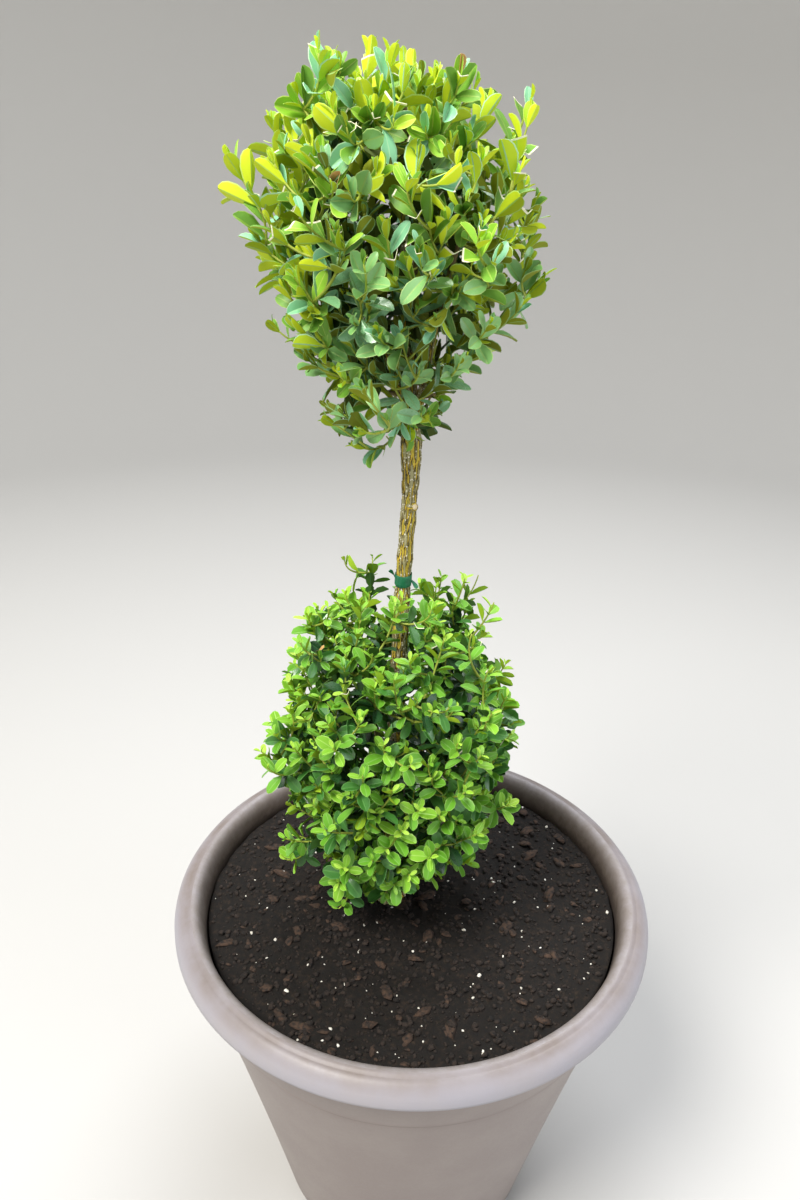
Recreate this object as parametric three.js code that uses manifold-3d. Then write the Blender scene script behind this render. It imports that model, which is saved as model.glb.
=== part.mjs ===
// A boxwood topiary trained with two heads on one bare stem, growing in a round planter.
// Millimetres, +Z up. The origin is the centre of the planter's flat underside, and the
// side that the photograph shows faces -Y.
import * as THREE from 'three';
import { mergeVertices } from 'three/addons/utils/BufferGeometryUtils.js';
import Module from 'manifold-3d';

// Space kept between neighbouring solids, so that no two of them overlap.
const clearance = 0.3;
const sameCorner = 1e-4;

// Planter: a flaring resin pot with a raised collar under a rolled, hollow rim.
const pot = {
  footRadius: 113,
  heel: 6,
  wallRadius: 117,
  wallSlope: 0.205,
  wallFlare: 0.00007,
  waist: 130,
  wall: 5,
  floor: 6,
  floorFillet: 3,
  collarFrom: 256,
  collarStep: 1.4,
  collarBevel: 3,
  channelTop: 316,
  segments: 40,
};

// The rim's section as radius and height: up behind its outer lip, down to the lip's free
// edge, out and over the crest, and down inside to the throat.
const rimSection = [
  [196, 314], [196, 306], [200, 306], [200, 314], [195, 321.8], [190.5, 325], [185, 326],
  [180.5, 324], [177, 318], [174, 304],
];
const [throatRadius, throatHeight] = rimSection.at(-1);
const [, lipHeight] = rimSection[1];

// Soil: nearly level, sunk a little where it meets the wall.
const soil = { level: 311, edge: 306, edgeWidth: 8, flatRadius: 60 };

// Stem: root flare, slow taper, a swollen fork under the crown and a leader inside it.
const stem = {
  foot: new THREE.Vector3(-20, 0, soil.level + clearance),
  middle: new THREE.Vector3(-15, 2, 500),
  neck: new THREE.Vector3(-12, 0, 605),
  fork: new THREE.Vector3(-8, 0, 702),
  tip: new THREE.Vector3(-16, 2, 862),
  baseRadius: 7.4,
  neckRadius: 5.2,
  tipRadius: 2.6,
  flare: 6.5,
  flareHeight: 13,
  forkSwelling: 1.6,
  forkSpread: 16,
  knobbiness: 0.05,
  rings: 22,
  ringCrowding: 1.3,
  sides: 9,
};
const scar = { height: 663, azimuth: -55, radius: 2.7, length: 7.4, rise: 2, sides: 6 };
const tie = {
  height: 608,
  width: 8,
  thickness: 0.9,
  tailLength: 8,
  tailRadius: 1.2,
  tailSides: 4,
  tails: [{ azimuth: 190, slant: 55 }, { azimuth: -15, slant: -50 }],
};

// A head is egg-shaped: its radius at height z follows a bent sine between base and top.
// `widest` moves the widest place up, `fullness` squares the shoulders. Its `shoots` are
// spread evenly over `cover` of its skin, which leaves the foot bare round the stem, and
// `leafPairs` sit along each shoot.
const crown = {
  x: -24,
  base: 700,
  top: 956,
  radius: 94,
  widest: 1.36,
  fullness: 0.44,
  heart: 828,
  source: new THREE.Vector3(-10, 0, 690),
  shoots: 58,
  cover: 0.99,
  leafPairs: 3,
  leaf: { length: 31, width: 20, thickness: 1.6, widest: 0.6, thickest: 0.3 },
  pairSpacing: 13,
  ragged: 0.24,
  coreShare: 0.64,
  seed: 3,
};
const ball = {
  x: -16,
  base: 320,
  top: 600,
  radius: 104,
  widest: 1.2,
  fullness: 0.3,
  heart: 450,
  source: new THREE.Vector3(-19, 0, 335),
  shoots: 57,
  cover: 0.97,
  leafPairs: 3,
  leaf: { length: 30, width: 19, thickness: 1.6, widest: 0.6, thickest: 0.3 },
  pairSpacing: 13,
  ragged: 0.24,
  coreShare: 0.72,
  seed: 8,
};

// Every mass of leaves owns the part of its head that lies nearer to its own centre than
// to the next one. Rings of centres are given by count, turn, distance and height.
const crownRings = [
  { name: 'crown_low', count: 3, turn: 20, out: 24, height: 740, bough: null },
  { name: 'crown_side', count: 3, turn: -40, out: 42, height: 838, bough: { from: 708, out: 26, to: 800 } },
  { name: 'crown_top', count: 1, turn: 0, out: 0, height: 912, bough: null },
];
const ballRings = [
  { name: 'ball_low', count: 3, turn: -50, out: 46, height: 390, bough: { from: 332, out: 26, to: 366 } },
  { name: 'ball_high', count: 3, turn: 10, out: 46, height: 510, bough: { from: 404, out: 25, to: 470 } },
];
const bough = { baseRadius: 3.3, tipRadius: 2, sides: 6, steps: 3, lift: 0.5, stagger: 10 };
const twig = {
  stemRadius: 2.4,
  thinning: 0.85,
  tipRadius: 1.5,
  sides: 4,
  steps: 2,
  stemNodes: [0.6, 1],
  straightness: 0.6,
};

// Shoots end short of the outline by `drawIn` of a leaf. Leaves stand off a shoot at the
// first of the spreads that leaves them clear, in pairs set a little apart, with their
// roots sunk in.
const drawIn = 0.62;
const leafSpreads = [48, 34, 62, 76].map(THREE.MathUtils.degToRad);
const leafSink = 0.4;
const rootShare = 0.2;
const pairStart = 5;
const pairOffset = 1.2;

// Space that twigs and leaves keep to the neighbouring mass, and the dense inside's gap to
// the stem. Then the steps of the searches, the rows that a head's skin is measured in, and
// the shortest edge that a join may leave.
const spaceMargin = 0.6;
const coreOffStem = 4;
const curveStep = 1e-5;
const outlineStep = 0.05;
const coreStep = 0.5;
const skinRows = 240;
const shortestEdge = 0.002;

const materials = {
  resin: new THREE.MeshStandardMaterial({ color: '#a89c96', roughness: 0.55, metalness: 0 }),
  soil: new THREE.MeshStandardMaterial({ color: '#231c17', roughness: 1, metalness: 0 }),
  bark: new THREE.MeshStandardMaterial({ color: '#8a7440', roughness: 0.9, metalness: 0 }),
  tie: new THREE.MeshStandardMaterial({ color: '#12603f', roughness: 0.6, metalness: 0 }),
  leaf: new THREE.MeshStandardMaterial({ color: '#5d9440', roughness: 0.5, metalness: 0 }),
};

const wasm = await Module();
wasm.setup();
const up = new THREE.Vector3(0, 0, 1);

// Solids and geometry

function toSolid(geometry) {
  const bare = geometry.clone();
  bare.deleteAttribute('normal');
  bare.deleteAttribute('uv');
  const merged = mergeVertices(bare, sameCorner);
  return new wasm.Manifold(new wasm.Mesh({
    numProp: 3,
    vertProperties: new Float32Array(merged.attributes.position.array),
    triVerts: new Uint32Array(merged.index.array),
  }));
}

function toGeometry(solid) {
  const mesh = solid.getMesh();
  const geometry = new THREE.BufferGeometry();
  geometry.setAttribute('position', new THREE.BufferAttribute(mesh.vertProperties, 3));
  geometry.setIndex(new THREE.BufferAttribute(mesh.triVerts, 1));
  geometry.computeVertexNormals();
  return geometry;
}

// The largest piece alone: loose scraps go, and so do the walls of sealed hollows.
function largestPiece(solid) {
  return solid.decompose().reduce((best, piece) => (piece.volume() > best.volume() ? piece : best));
}

function join(solids) {
  return solids.reduce((whole, solid) => whole.add(solid));
}

function solidFromFaces(points, faces) {
  const geometry = new THREE.BufferGeometry();
  const positions = points.flatMap((point) => point.toArray());
  geometry.setAttribute('position', new THREE.Float32BufferAttribute(positions, 3));
  geometry.setIndex(faces.flat());
  return toSolid(geometry);
}

// Places along a limb with its direction and a side vector that doesn't twist. The limb
// narrows evenly from one radius to the other.
function placesAlong(centres, fromRadius, toRadius) {
  const last = centres.length - 1;
  let across = perpendicular(centres[1].clone().sub(centres[0]));
  return centres.map((centre, i) => {
    const along = centres[Math.min(i + 1, last)].clone().sub(centres[Math.max(i - 1, 0)]).normalize();
    across = across.clone().addScaledVector(along, -across.dot(along)).normalize();
    return { centre, along, across, radius: THREE.MathUtils.lerp(fromRadius, toRadius, i / last) };
  });
}

// A closed tube with a ring of corners at each place. `grow` widens and lengthens it
// evenly, for the clearance round a limb.
function sweep(places, sides, grow = 0) {
  const last = places.length - 1;
  const points = places.flatMap(({ centre, along, across, radius }, i) => {
    const end = i === 0 ? -grow : grow * (i === last);
    const middle = centre.clone().addScaledVector(along, end);
    const arm = across.clone().multiplyScalar(radius + grow / Math.cos(Math.PI / sides));
    return Array.from({ length: sides }, (_, k) => (
      arm.clone().applyAxisAngle(along, (2 * Math.PI * k) / sides).add(middle)));
  });
  const faces = [];
  for (let i = 0; i < last; i += 1) {
    for (let k = 0; k < sides; k += 1) {
      const a = i * sides + k;
      const b = i * sides + ((k + 1) % sides);
      faces.push([a, b, b + sides], [a, b + sides, a + sides]);
    }
  }
  for (let k = 1; k < sides - 1; k += 1) {
    faces.push([0, k + 1, k], [last * sides, last * sides + k, last * sides + k + 1]);
  }
  return solidFromFaces(points, faces);
}

function perpendicular(direction) {
  const helper = Math.abs(direction.z) < 0.9 ? up : new THREE.Vector3(1, 0, 0);
  return helper.clone().cross(direction).normalize();
}

// A repeatable number between 0 and 1 for a place in the plant.
function chance(seed, index, use) {
  const value = Math.sin(seed * 127.1 + index * 311.7 + use * 74.7) * 43758.5453;
  return value - Math.floor(value);
}

function polar(azimuth, out, height, x = 0) {
  const angle = THREE.MathUtils.degToRad(azimuth);
  return new THREE.Vector3(x + out * Math.cos(angle), out * Math.sin(angle), height);
}

// Planter and soil

function wallRadius(z) {
  return pot.wallRadius + pot.wallSlope * z + pot.wallFlare * z ** 2;
}

function potProfile() {
  const { heel, waist, wall, floor, collarFrom, channelTop } = pot;
  const collarFoot = collarFrom - pot.collarBevel;
  const onWall = (z) => [wallRadius(z), z];
  const outside = [
    [0, 0], [pot.footRadius, 0], onWall(heel), onWall(waist), onWall(collarFoot),
    [wallRadius(collarFrom) + pot.collarStep, collarFrom], onWall(lipHeight), onWall(channelTop),
  ];
  const inside = [
    [wallRadius(collarFoot) - wall, collarFoot], [wallRadius(floor) - wall, floor + pot.floorFillet],
    [pot.footRadius - wall, floor], [0, floor],
  ];
  return { outside, inside };
}

function lathe(profile) {
  const points = profile.map(([radius, z]) => new THREE.Vector2(radius, z));
  return new THREE.LatheGeometry(points, pot.segments).rotateX(Math.PI / 2);
}

function potGeometry() {
  const { outside, inside } = potProfile();
  return lathe([...outside, ...rimSection, ...inside]);
}

// The soil fills the planter up to its throat and keeps the clearance to wall and floor.
function soilGeometry() {
  const gap = clearance / Math.cos(Math.PI / pot.segments);
  const [collar, fillet, corner] = potProfile().inside.map(([radius, z]) => [radius - 2 * gap, z]);
  return lathe([
    [0, pot.floor + gap], [corner[0], corner[1] + gap], [fillet[0], fillet[1] + gap], collar,
    [throatRadius - 2 * gap, throatHeight], [throatRadius - soil.edgeWidth, soil.edge],
    [soil.flatRadius, soil.level], [0, soil.level],
  ]);
}

// Stem

function stemCurve() {
  return new THREE.CatmullRomCurve3([stem.foot, stem.middle, stem.neck, stem.fork, stem.tip]);
}

function stemRadius(z) {
  const above = z - stem.foot.z;
  const clear = THREE.MathUtils.clamp(above / (stem.neck.z - stem.foot.z), 0, 1);
  const leader = THREE.MathUtils.clamp((z - stem.fork.z) / (stem.tip.z - stem.fork.z), 0, 1);
  const plain = THREE.MathUtils.lerp(stem.baseRadius, stem.neckRadius, clear);
  const flare = stem.flare * Math.exp(-above / stem.flareHeight);
  const swelling = stem.forkSwelling * Math.exp(-(((z - stem.fork.z) / stem.forkSpread) ** 2));
  return THREE.MathUtils.lerp(plain, stem.tipRadius, leader) + flare + swelling;
}

function stemPoint(z) {
  const curve = stemCurve();
  let low = 0;
  let high = 1;
  while (high - low > curveStep) {
    const middle = (low + high) / 2;
    if (curve.getPoint(middle).z < z) low = middle;
    else high = middle;
  }
  return curve.getPoint(low);
}

// The stem's rings lie level, so that its foot is a flat cut on the soil. They stand closer
// together near the foot, and each is a little wider or narrower than the smooth taper.
function stemSolid(grow = 0) {
  const height = stem.tip.z - stem.foot.z;
  const places = Array.from({ length: stem.rings }, (_, i) => {
    const centre = stemPoint(stem.foot.z + height * (i / (stem.rings - 1)) ** stem.ringCrowding);
    const knob = 1 + stem.knobbiness * (chance(stem.rings, i, 1) - 0.5);
    return { centre, along: up, across: perpendicular(up), radius: stemRadius(centre.z) * knob };
  });
  const pruned = stemPoint(scar.height);
  const stubEnd = pruned.clone().add(polar(scar.azimuth, scar.length, scar.rise));
  const stub = placesAlong([pruned, stubEnd], scar.radius, scar.radius);
  return sweep(places, stem.sides, grow).add(sweep(stub, scar.sides, grow));
}

// The nursery tie: a band round the stem with two short tails.
function tieSolid() {
  const ends = [-tie.width / 2, tie.width / 2].map((step) => stemPoint(tie.height + step));
  const radius = stemRadius(tie.height) + stem.knobbiness + tie.thickness;
  const band = sweep(placesAlong(ends, radius, radius), stem.sides);
  const tails = tie.tails.map(({ azimuth, slant }) => {
    const knot = stemPoint(tie.height).add(polar(azimuth, radius, 0));
    const angle = THREE.MathUtils.degToRad(slant);
    const end = polar(azimuth, tie.tailLength * Math.cos(angle), tie.tailLength * Math.sin(angle));
    return sweep(placesAlong([knot, knot.clone().add(end)], tie.tailRadius, tie.tailRadius), tie.tailSides);
  });
  return largestPiece(join([band, ...tails]).subtract(stemSolid(clearance)));
}

// Heads, their masses and boughs

function headRadius(head, z) {
  const share = (z - head.base) / (head.top - head.base);
  if (share <= 0 || share >= 1) return 0;
  return head.radius * Math.sin(Math.PI * share ** head.widest) ** head.fullness;
}

// How far the head's outline lies from a point inside it, along a direction.
function outlineDistance(head, from, direction) {
  let near = 0;
  let far = head.top - head.base;
  while (far - near > outlineStep) {
    const middle = (near + far) / 2;
    const point = from.clone().addScaledVector(direction, middle);
    if (Math.hypot(point.x - head.x, point.y) < headRadius(head, point.z)) near = middle;
    else far = middle;
  }
  return near;
}

// The masses of a head, in rings round the stem. The boughs of a ring leave the stem at
// staggered heights.
function ringMasses(head, rings) {
  return rings.flatMap((ring) => Array.from({ length: ring.count }, (_, i) => {
    const azimuth = ring.turn + (360 * i) / ring.count;
    const stagger = i * bough.stagger;
    return {
      name: ring.count > 1 ? `${ring.name}_${i + 1}` : ring.name,
      head,
      azimuth,
      centre: polar(azimuth, ring.out, ring.height, stemPoint(ring.height).x),
      bough: ring.bough && { ...ring.bough, from: ring.bough.from + stagger },
    };
  }));
}

// A point belongs to a mass if it is nearer to its centre than to any other's.
function isOwn(mass, masses, point, margin = spaceMargin) {
  return masses.every((other) => {
    if (other === mass) return true;
    const between = other.centre.clone().sub(mass.centre);
    const middle = mass.centre.clone().addScaledVector(between, 0.5);
    return point.clone().sub(middle).dot(between.normalize()) < -margin;
  });
}

// A way that leaves `from` steeply and reaches `to` along the given direction.
function bend(from, to, direction) {
  const control = to.clone().addScaledVector(direction, -bough.lift * from.distanceTo(to));
  return new THREE.QuadraticBezierCurve3(from, control, to);
}

// One tapering limb from inside the stem to where its mass begins.
function boughPlaces(mass) {
  const from = stemPoint(mass.bough.from);
  const to = polar(mass.azimuth, mass.bough.out, mass.bough.to, stemPoint(mass.bough.to).x);
  const path = bend(from, to, mass.centre.clone().sub(mass.head.source).normalize());
  return placesAlong(path.getPoints(bough.steps), bough.baseRadius, bough.tipRadius);
}

function boughSolid(mass, grow = 0) {
  return sweep(boughPlaces(mass), bough.sides, grow);
}

// Leaves and twigs

// Places on a head's outline that share its skin evenly, from the top down, each turned
// from the last by the golden angle.
function outlinePlaces(head) {
  const rows = Array.from({ length: skinRows + 1 }, (_, k) => {
    const z = THREE.MathUtils.lerp(head.top, head.base, k / skinRows);
    return { z, radius: headRadius(head, z) };
  });
  const skinAbove = [0];
  rows.slice(1).forEach(({ z, radius }, k) => {
    const slope = Math.hypot(rows[k].z - z, rows[k].radius - radius);
    skinAbove.push(skinAbove[k] + slope * (rows[k].radius + radius));
  });
  return Array.from({ length: head.shoots }, (_, i) => {
    const share = skinAbove[skinRows] * head.cover * ((i + 0.5) / head.shoots);
    const { z, radius } = rows[skinAbove.findIndex((skin) => skin >= share)];
    return polar(180 * (1 + Math.sqrt(5)) * i, radius, z, head.x);
  });
}

// Shoot tips: the places on the outline, drawn in by most of a leaf's length. A few stand
// out further than the rest.
function shootTips(head) {
  const heart = new THREE.Vector3(head.x, 0, head.heart);
  return outlinePlaces(head).map((place, i) => {
    const arm = place.sub(heart);
    const stray = 1 + head.ragged * (chance(head.seed, i, 2) ** 2 - 0.5);
    const reach = arm.length() * stray - drawIn * head.leaf.length;
    return heart.clone().addScaledVector(arm.normalize(), reach);
  });
}

// The twigs of a mass: first its stem, then one shoot to each of its tips, the nearest tip
// first. A shoot springs from the nearest twig that lies behind it.
function growTwigs(mass, masses) {
  const { head, centre } = mass;
  const start = mass.bough ? boughPlaces(mass).at(-1).centre : stemPoint(Math.min(centre.z, stem.tip.z));
  const shoots = [placesAlong([start, centre], twig.stemRadius, twig.stemRadius * twig.thinning)];
  const nodes = twig.stemNodes.map((share) => ({
    centre: start.clone().lerp(centre, share), radius: twig.stemRadius * twig.thinning,
  }));
  const isFree = (point) => isOwn(mass, masses, point, spaceMargin + twig.tipRadius);
  const tips = shootTips(head).filter(isFree);
  tips.sort((a, b) => a.distanceTo(start) - b.distanceTo(start));
  tips.forEach((tip) => {
    const outward = tip.clone().sub(head.source).normalize();
    const cost = (node) => {
      const way = tip.clone().sub(node.centre);
      return way.length() * (1 + twig.straightness * (1 - way.normalize().dot(outward)));
    };
    const from = nodes.reduce((best, node) => (cost(node) < cost(best) ? node : best));
    const path = bend(from.centre, tip, outward);
    const places = placesAlong(path.getPoints(twig.steps), from.radius * twig.thinning, twig.tipRadius);
    if (!places.slice(1).every((place) => isFree(place.centre))) return;
    shoots.push(places);
    nodes.push(...places.slice(1, -1));
  });
  return shoots;
}

// A leaf is a thin kite of six faces, flat below and thickest near its root.
function leafSolid(leaf, { root, direction, face }, from = 0) {
  const across = direction.clone().cross(face).normalize();
  const at = (along, side, lift) => root.clone()
    .addScaledVector(direction, along * leaf.length)
    .addScaledVector(across, (side * leaf.width) / 2)
    .addScaledVector(face, lift * leaf.thickness);
  const points = [
    at(from, 0, 0), at(leaf.widest, -1, 0), at(1, 0, 0), at(leaf.widest, 1, 0), at(leaf.thickest, 0, 1),
  ];
  const faces = [[0, 4, 1], [1, 4, 2], [2, 4, 3], [3, 4, 0], [0, 1, 2], [0, 2, 3]];
  return { points, solid: solidFromFaces(points, faces) };
}

// A leaf that stands off its twig to one side at the given angle, its upper face turned to
// the shoot's tip. Its root is sunk into the twig.
function leafAt({ centre, along, side }, spread) {
  const direction = along.clone().multiplyScalar(Math.cos(spread)).addScaledVector(side, Math.sin(spread));
  const face = along.clone().multiplyScalar(Math.sin(spread)).addScaledVector(side, -Math.cos(spread));
  return { root: centre.clone().addScaledVector(direction, -leafSink), direction, face };
}

// Where leaves stand on a shoot: one at its end, and opposite pairs back from there, each
// turned a quarter from the last, so that a leaf stands on one of the twig's four faces.
function leafPlaces(head, places) {
  const found = [{ ...places.at(-1), side: places.at(-1).across, spreads: [0] }];
  for (let pair = 0; pair < head.leafPairs; pair += 1) {
    [1, -1].forEach((hand) => {
      const place = placeBack(places, pairStart + pair * head.pairSpacing + hand * pairOffset);
      if (!place) return;
      const turn = Math.PI * (0.25 + 0.5 * (pair % 2));
      const side = place.across.clone().applyAxisAngle(place.along, turn).multiplyScalar(hand);
      found.push({ ...place, side, spreads: leafSpreads });
    });
  }
  return found;
}

// The place at a distance back from a shoot's tip, measured along its straight stretches.
function placeBack(places, back) {
  let left = back;
  for (let i = places.length - 1; i > 0; i -= 1) {
    const stretch = places[i].centre.distanceTo(places[i - 1].centre);
    if (left < stretch) {
      const along = places[i].centre.clone().sub(places[i - 1].centre).normalize();
      const across = places[i].across.clone().addScaledVector(along, -places[i].across.dot(along));
      const centre = places[i].centre.clone().addScaledVector(along, -left);
      return { centre, along, across: across.normalize() };
    }
    left -= stretch;
  }
  return null;
}

// The head's shape drawn in towards its heart, where the dense inside of its masses ends.
function shrunkHead(head) {
  const drawn = (z) => head.heart + (z - head.heart) * head.coreShare;
  return { ...head, base: drawn(head.base), top: drawn(head.top), radius: head.radius * head.coreShare };
}

// The dense inside of a mass: a faceted lump that fills its share of the shrunk head and
// stays off the stem. A mass whose centre lies outside that shape has none.
function coreSolid(mass, masses) {
  const { centre } = mass;
  const inner = shrunkHead(mass.head);
  const isInside = (point) => {
    const axis = stemPoint(point.z);
    const offStem = Math.hypot(point.x - axis.x, point.y - axis.y) > stemRadius(point.z) + coreOffStem;
    return isOwn(mass, masses, point) && (offStem || point.z > stem.tip.z);
  };
  const geometry = new THREE.IcosahedronGeometry(1, 0);
  geometry.deleteAttribute('normal');
  geometry.deleteAttribute('uv');
  const lump = mergeVertices(geometry);
  const position = lump.attributes.position;
  for (let i = 0; i < position.count; i += 1) {
    const direction = new THREE.Vector3().fromBufferAttribute(position, i).normalize();
    let size = outlineDistance(inner, centre, direction);
    while (size > coreStep && !isInside(centre.clone().addScaledVector(direction, size))) size -= coreStep;
    direction.multiplyScalar(Math.max(size, coreStep)).add(centre);
    position.setXYZ(i, direction.x, direction.y, direction.z);
  }
  return toSolid(lump);
}

// A mass of leaves: core and twigs joined, then every leaf that stays in the mass's own
// space and clear of the limbs, the twigs and the leaves before it.
function massSolid(mass, masses, limbs) {
  const [mainStem, ...twigs] = growTwigs(mass, masses)
    .map((places) => ({ places, solid: sweep(places, twig.sides) }));
  const inner = shrunkHead(mass.head);
  const hasCore = headRadius(inner, mass.centre.z) > Math.hypot(mass.centre.x - inner.x, mass.centre.y);
  let whole = hasCore ? coreSolid(mass, masses).add(mainStem.solid) : mainStem.solid;
  const grown = twigs.filter(({ solid }) => {
    const joined = limbs.intersect(solid).isEmpty() && joinCleanly(whole, solid);
    whole = joined || whole;
    return joined;
  });
  const wood = whole;
  const blades = [];
  grown.flatMap(({ places }) => leafPlaces(mass.head, places)).forEach((place) => {
    place.spreads.some((spread) => {
      const leaf = leafAt(place, spread);
      const { points, solid } = leafSolid(mass.head.leaf, leaf);
      const blade = leafSolid(mass.head.leaf, leaf, rootShare).solid;
      const isClear = points.every((point) => isOwn(mass, masses, point))
        && [limbs, wood, ...blades].every((other) => other.intersect(blade).isEmpty());
      const joined = isClear && joinCleanly(whole, solid);
      if (!joined) return false;
      whole = joined;
      blades.push(blade);
      return true;
    });
  });
  return largestPiece(whole.subtract(limbs));
}

// Two solids joined, or nothing where the join would leave an edge too short to keep.
function joinCleanly(whole, piece) {
  const joined = whole.add(piece);
  const { numProp, vertProperties, triVerts } = joined.getMesh();
  const corner = (i) => new THREE.Vector3().fromArray(vertProperties, triVerts[i] * numProp);
  for (let i = 0; i < triVerts.length; i += 3) {
    for (let k = 0; k < 3; k += 1) {
      if (corner(i + k).distanceTo(corner(i + ((k + 1) % 3))) < shortestEdge) return null;
    }
  }
  return joined;
}

// Assembly

const topiary = new THREE.Group();

function addNode(name, geometry, material) {
  const mesh = new THREE.Mesh(geometry, material);
  mesh.name = name;
  topiary.add(mesh);
}

addNode('pot', potGeometry(), materials.resin);
addNode('soil', soilGeometry(), materials.soil);
addNode('stem', toGeometry(stemSolid()), materials.bark);
addNode('stem_tie', toGeometry(tieSolid()), materials.tie);

[ringMasses(crown, crownRings), ringMasses(ball, ballRings)].forEach((masses) => {
  const borne = masses.filter((mass) => mass.bough);
  borne.forEach((mass) => {
    const limb = largestPiece(boughSolid(mass).subtract(stemSolid(clearance)));
    addNode(`${mass.name}_bough`, toGeometry(limb), materials.bark);
  });
  const limbs = join([stemSolid(clearance), ...borne.map((mass) => boughSolid(mass, clearance))]);
  masses.forEach((mass) => {
    addNode(mass.name, toGeometry(massSolid(mass, masses, limbs)), materials.leaf);
  });
});

export default topiary;
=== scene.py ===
import math

import bpy
import numpy as np
from mathutils import Matrix, Vector, noise


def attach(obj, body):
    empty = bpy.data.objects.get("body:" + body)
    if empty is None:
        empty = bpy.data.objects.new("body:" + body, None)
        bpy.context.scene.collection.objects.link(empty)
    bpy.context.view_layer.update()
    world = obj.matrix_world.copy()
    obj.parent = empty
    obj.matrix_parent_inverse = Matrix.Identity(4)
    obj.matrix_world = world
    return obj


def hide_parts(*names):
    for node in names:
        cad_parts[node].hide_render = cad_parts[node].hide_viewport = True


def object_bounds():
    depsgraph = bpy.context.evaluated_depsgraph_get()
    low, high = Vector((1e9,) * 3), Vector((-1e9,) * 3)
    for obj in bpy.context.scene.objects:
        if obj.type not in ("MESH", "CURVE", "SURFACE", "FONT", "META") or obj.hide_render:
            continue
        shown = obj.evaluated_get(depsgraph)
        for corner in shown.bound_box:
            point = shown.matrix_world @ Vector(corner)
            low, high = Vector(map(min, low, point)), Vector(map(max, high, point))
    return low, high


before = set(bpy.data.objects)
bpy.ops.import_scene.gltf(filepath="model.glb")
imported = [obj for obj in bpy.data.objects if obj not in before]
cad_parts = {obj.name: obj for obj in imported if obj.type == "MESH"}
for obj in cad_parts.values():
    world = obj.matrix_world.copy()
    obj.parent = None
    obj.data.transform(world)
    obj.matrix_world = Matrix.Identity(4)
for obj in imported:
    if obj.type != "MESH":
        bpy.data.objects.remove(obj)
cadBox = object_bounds()

mm = 0.001  # every size below is in millimetres
up = Vector((0, 0, 1))


# Small tools

def linearColour(hexColour):
    parts = [int(hexColour[i:i + 2], 16) / 255 for i in (1, 3, 5)]
    return (*[p / 12.92 if p <= 0.04045 else ((p + 0.055) / 1.055) ** 2.4 for p in parts], 1.0)


# Another node's output is linked in, a value or a hex colour goes to the input of that name
# or number, stops are a colour ramp's, and any other name is a setting of the node itself
def setNode(tree, node, settings):
    for name, value in settings.items():
        if isinstance(value, bpy.types.NodeSocket):
            tree.links.new(value, node.inputs[name])
        elif isinstance(name, int) or name in node.inputs:
            node.inputs[name].default_value = linearColour(value) if isinstance(value, str) else value
        elif name == "stops":
            elements = node.color_ramp.elements
            while len(elements) < len(value):
                elements.new(0.5)
            for element, (place, hexColour) in zip(elements, value):
                element.position = place
                element.color = linearColour(hexColour)
        else:
            setattr(node, name, value)


# Adds a node and gives the output that is wanted of it
def addNode(tree, kind, output, settings=None):
    node = tree.nodes.new("ShaderNode" + kind)
    setNode(tree, node, settings or {})
    return node.outputs[output]


def newMaterial(name, baseHex, settings=None):
    material = bpy.data.materials.new(name)
    material.use_nodes = True
    tree = material.node_tree
    shader = tree.nodes["Principled BSDF"]
    setNode(tree, shader, {"Base Color": baseHex, **(settings or {})})
    return material, tree, shader


# A finish whose colour, gloss and relief all follow one noise, with the size and depth of
# its grain in millimetres
def grainyMaterial(name, baseHex, grain, stops=None, roughness=None, settings=None):
    material, tree, shader = newMaterial(name, baseHex, settings)
    height = addNode(tree, "TexNoise", "Fac", {
        "Vector": addNode(tree, "TexCoord", "Object"), "Scale": 1 / (grain["size"] * mm),
        "Detail": grain["detail"], "Roughness": grain.get("fineness", 0.5)})
    if stops:
        ramp = {"Fac": height, "stops": stops}
        setNode(tree, shader, {"Base Color": addNode(tree, "ValToRGB", "Color", ramp)})
    if roughness:
        gloss = {"Value": height, "To Min": roughness[0], "To Max": roughness[1]}
        setNode(tree, shader, {"Roughness": addNode(tree, "MapRange", "Result", gloss)})
    relief = {"Height": height, "Distance": grain["depth"] * mm, "Strength": grain.get("strength", 1.0)}
    setNode(tree, shader, {"Normal": addNode(tree, "Bump", "Normal", relief)})
    return material


def makeObject(name, points, faces, materials, faceSlots=None, sharpAngle=None):
    mesh = bpy.data.meshes.new(name)
    points = np.asarray(points, dtype=float) * mm
    mesh.from_pydata(points.tolist(), [], faces.tolist() if isinstance(faces, np.ndarray) else faces)
    for material in materials:
        mesh.materials.append(material)
    if faceSlots is not None:
        mesh.polygons.foreach_set("material_index", np.asarray(faceSlots, dtype=np.int32))
    mesh.shade_smooth()
    if sharpAngle:
        mesh.set_sharp_from_angle(angle=math.radians(sharpAngle))
    mesh.update()
    made = bpy.data.objects.new(name, mesh)
    bpy.context.scene.collection.objects.link(made)
    return made


def makePiece(name, points, faces, materials, slotName, replaced=(), faceSlots=None, sharpAngle=None):
    piece = makeObject(name, points, faces, materials, faceSlots, sharpAngle)
    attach(piece, "root")
    if replaced:
        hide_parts(*replaced)
    return piece


# A repeatable number between 0 and 1 for a place in the plant
def chance(seed, index, use):
    value = math.sin(seed * 127.1 + index * 311.7 + use * 74.7) * 43758.5453
    return value - math.floor(value)


def between(low, high, share):
    return low + (high - low) * share


def clamp(value, low=0.0, high=1.0):
    return max(low, min(high, value))


def polar(azimuth, out, height, x=0.0):
    angle = math.radians(azimuth)
    return Vector((x + out * math.cos(angle), out * math.sin(angle), height))


def perpendicular(direction):
    helper = up if abs(direction.z) < 0.9 else Vector((1, 0, 0))
    return helper.cross(direction).normalized()


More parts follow.
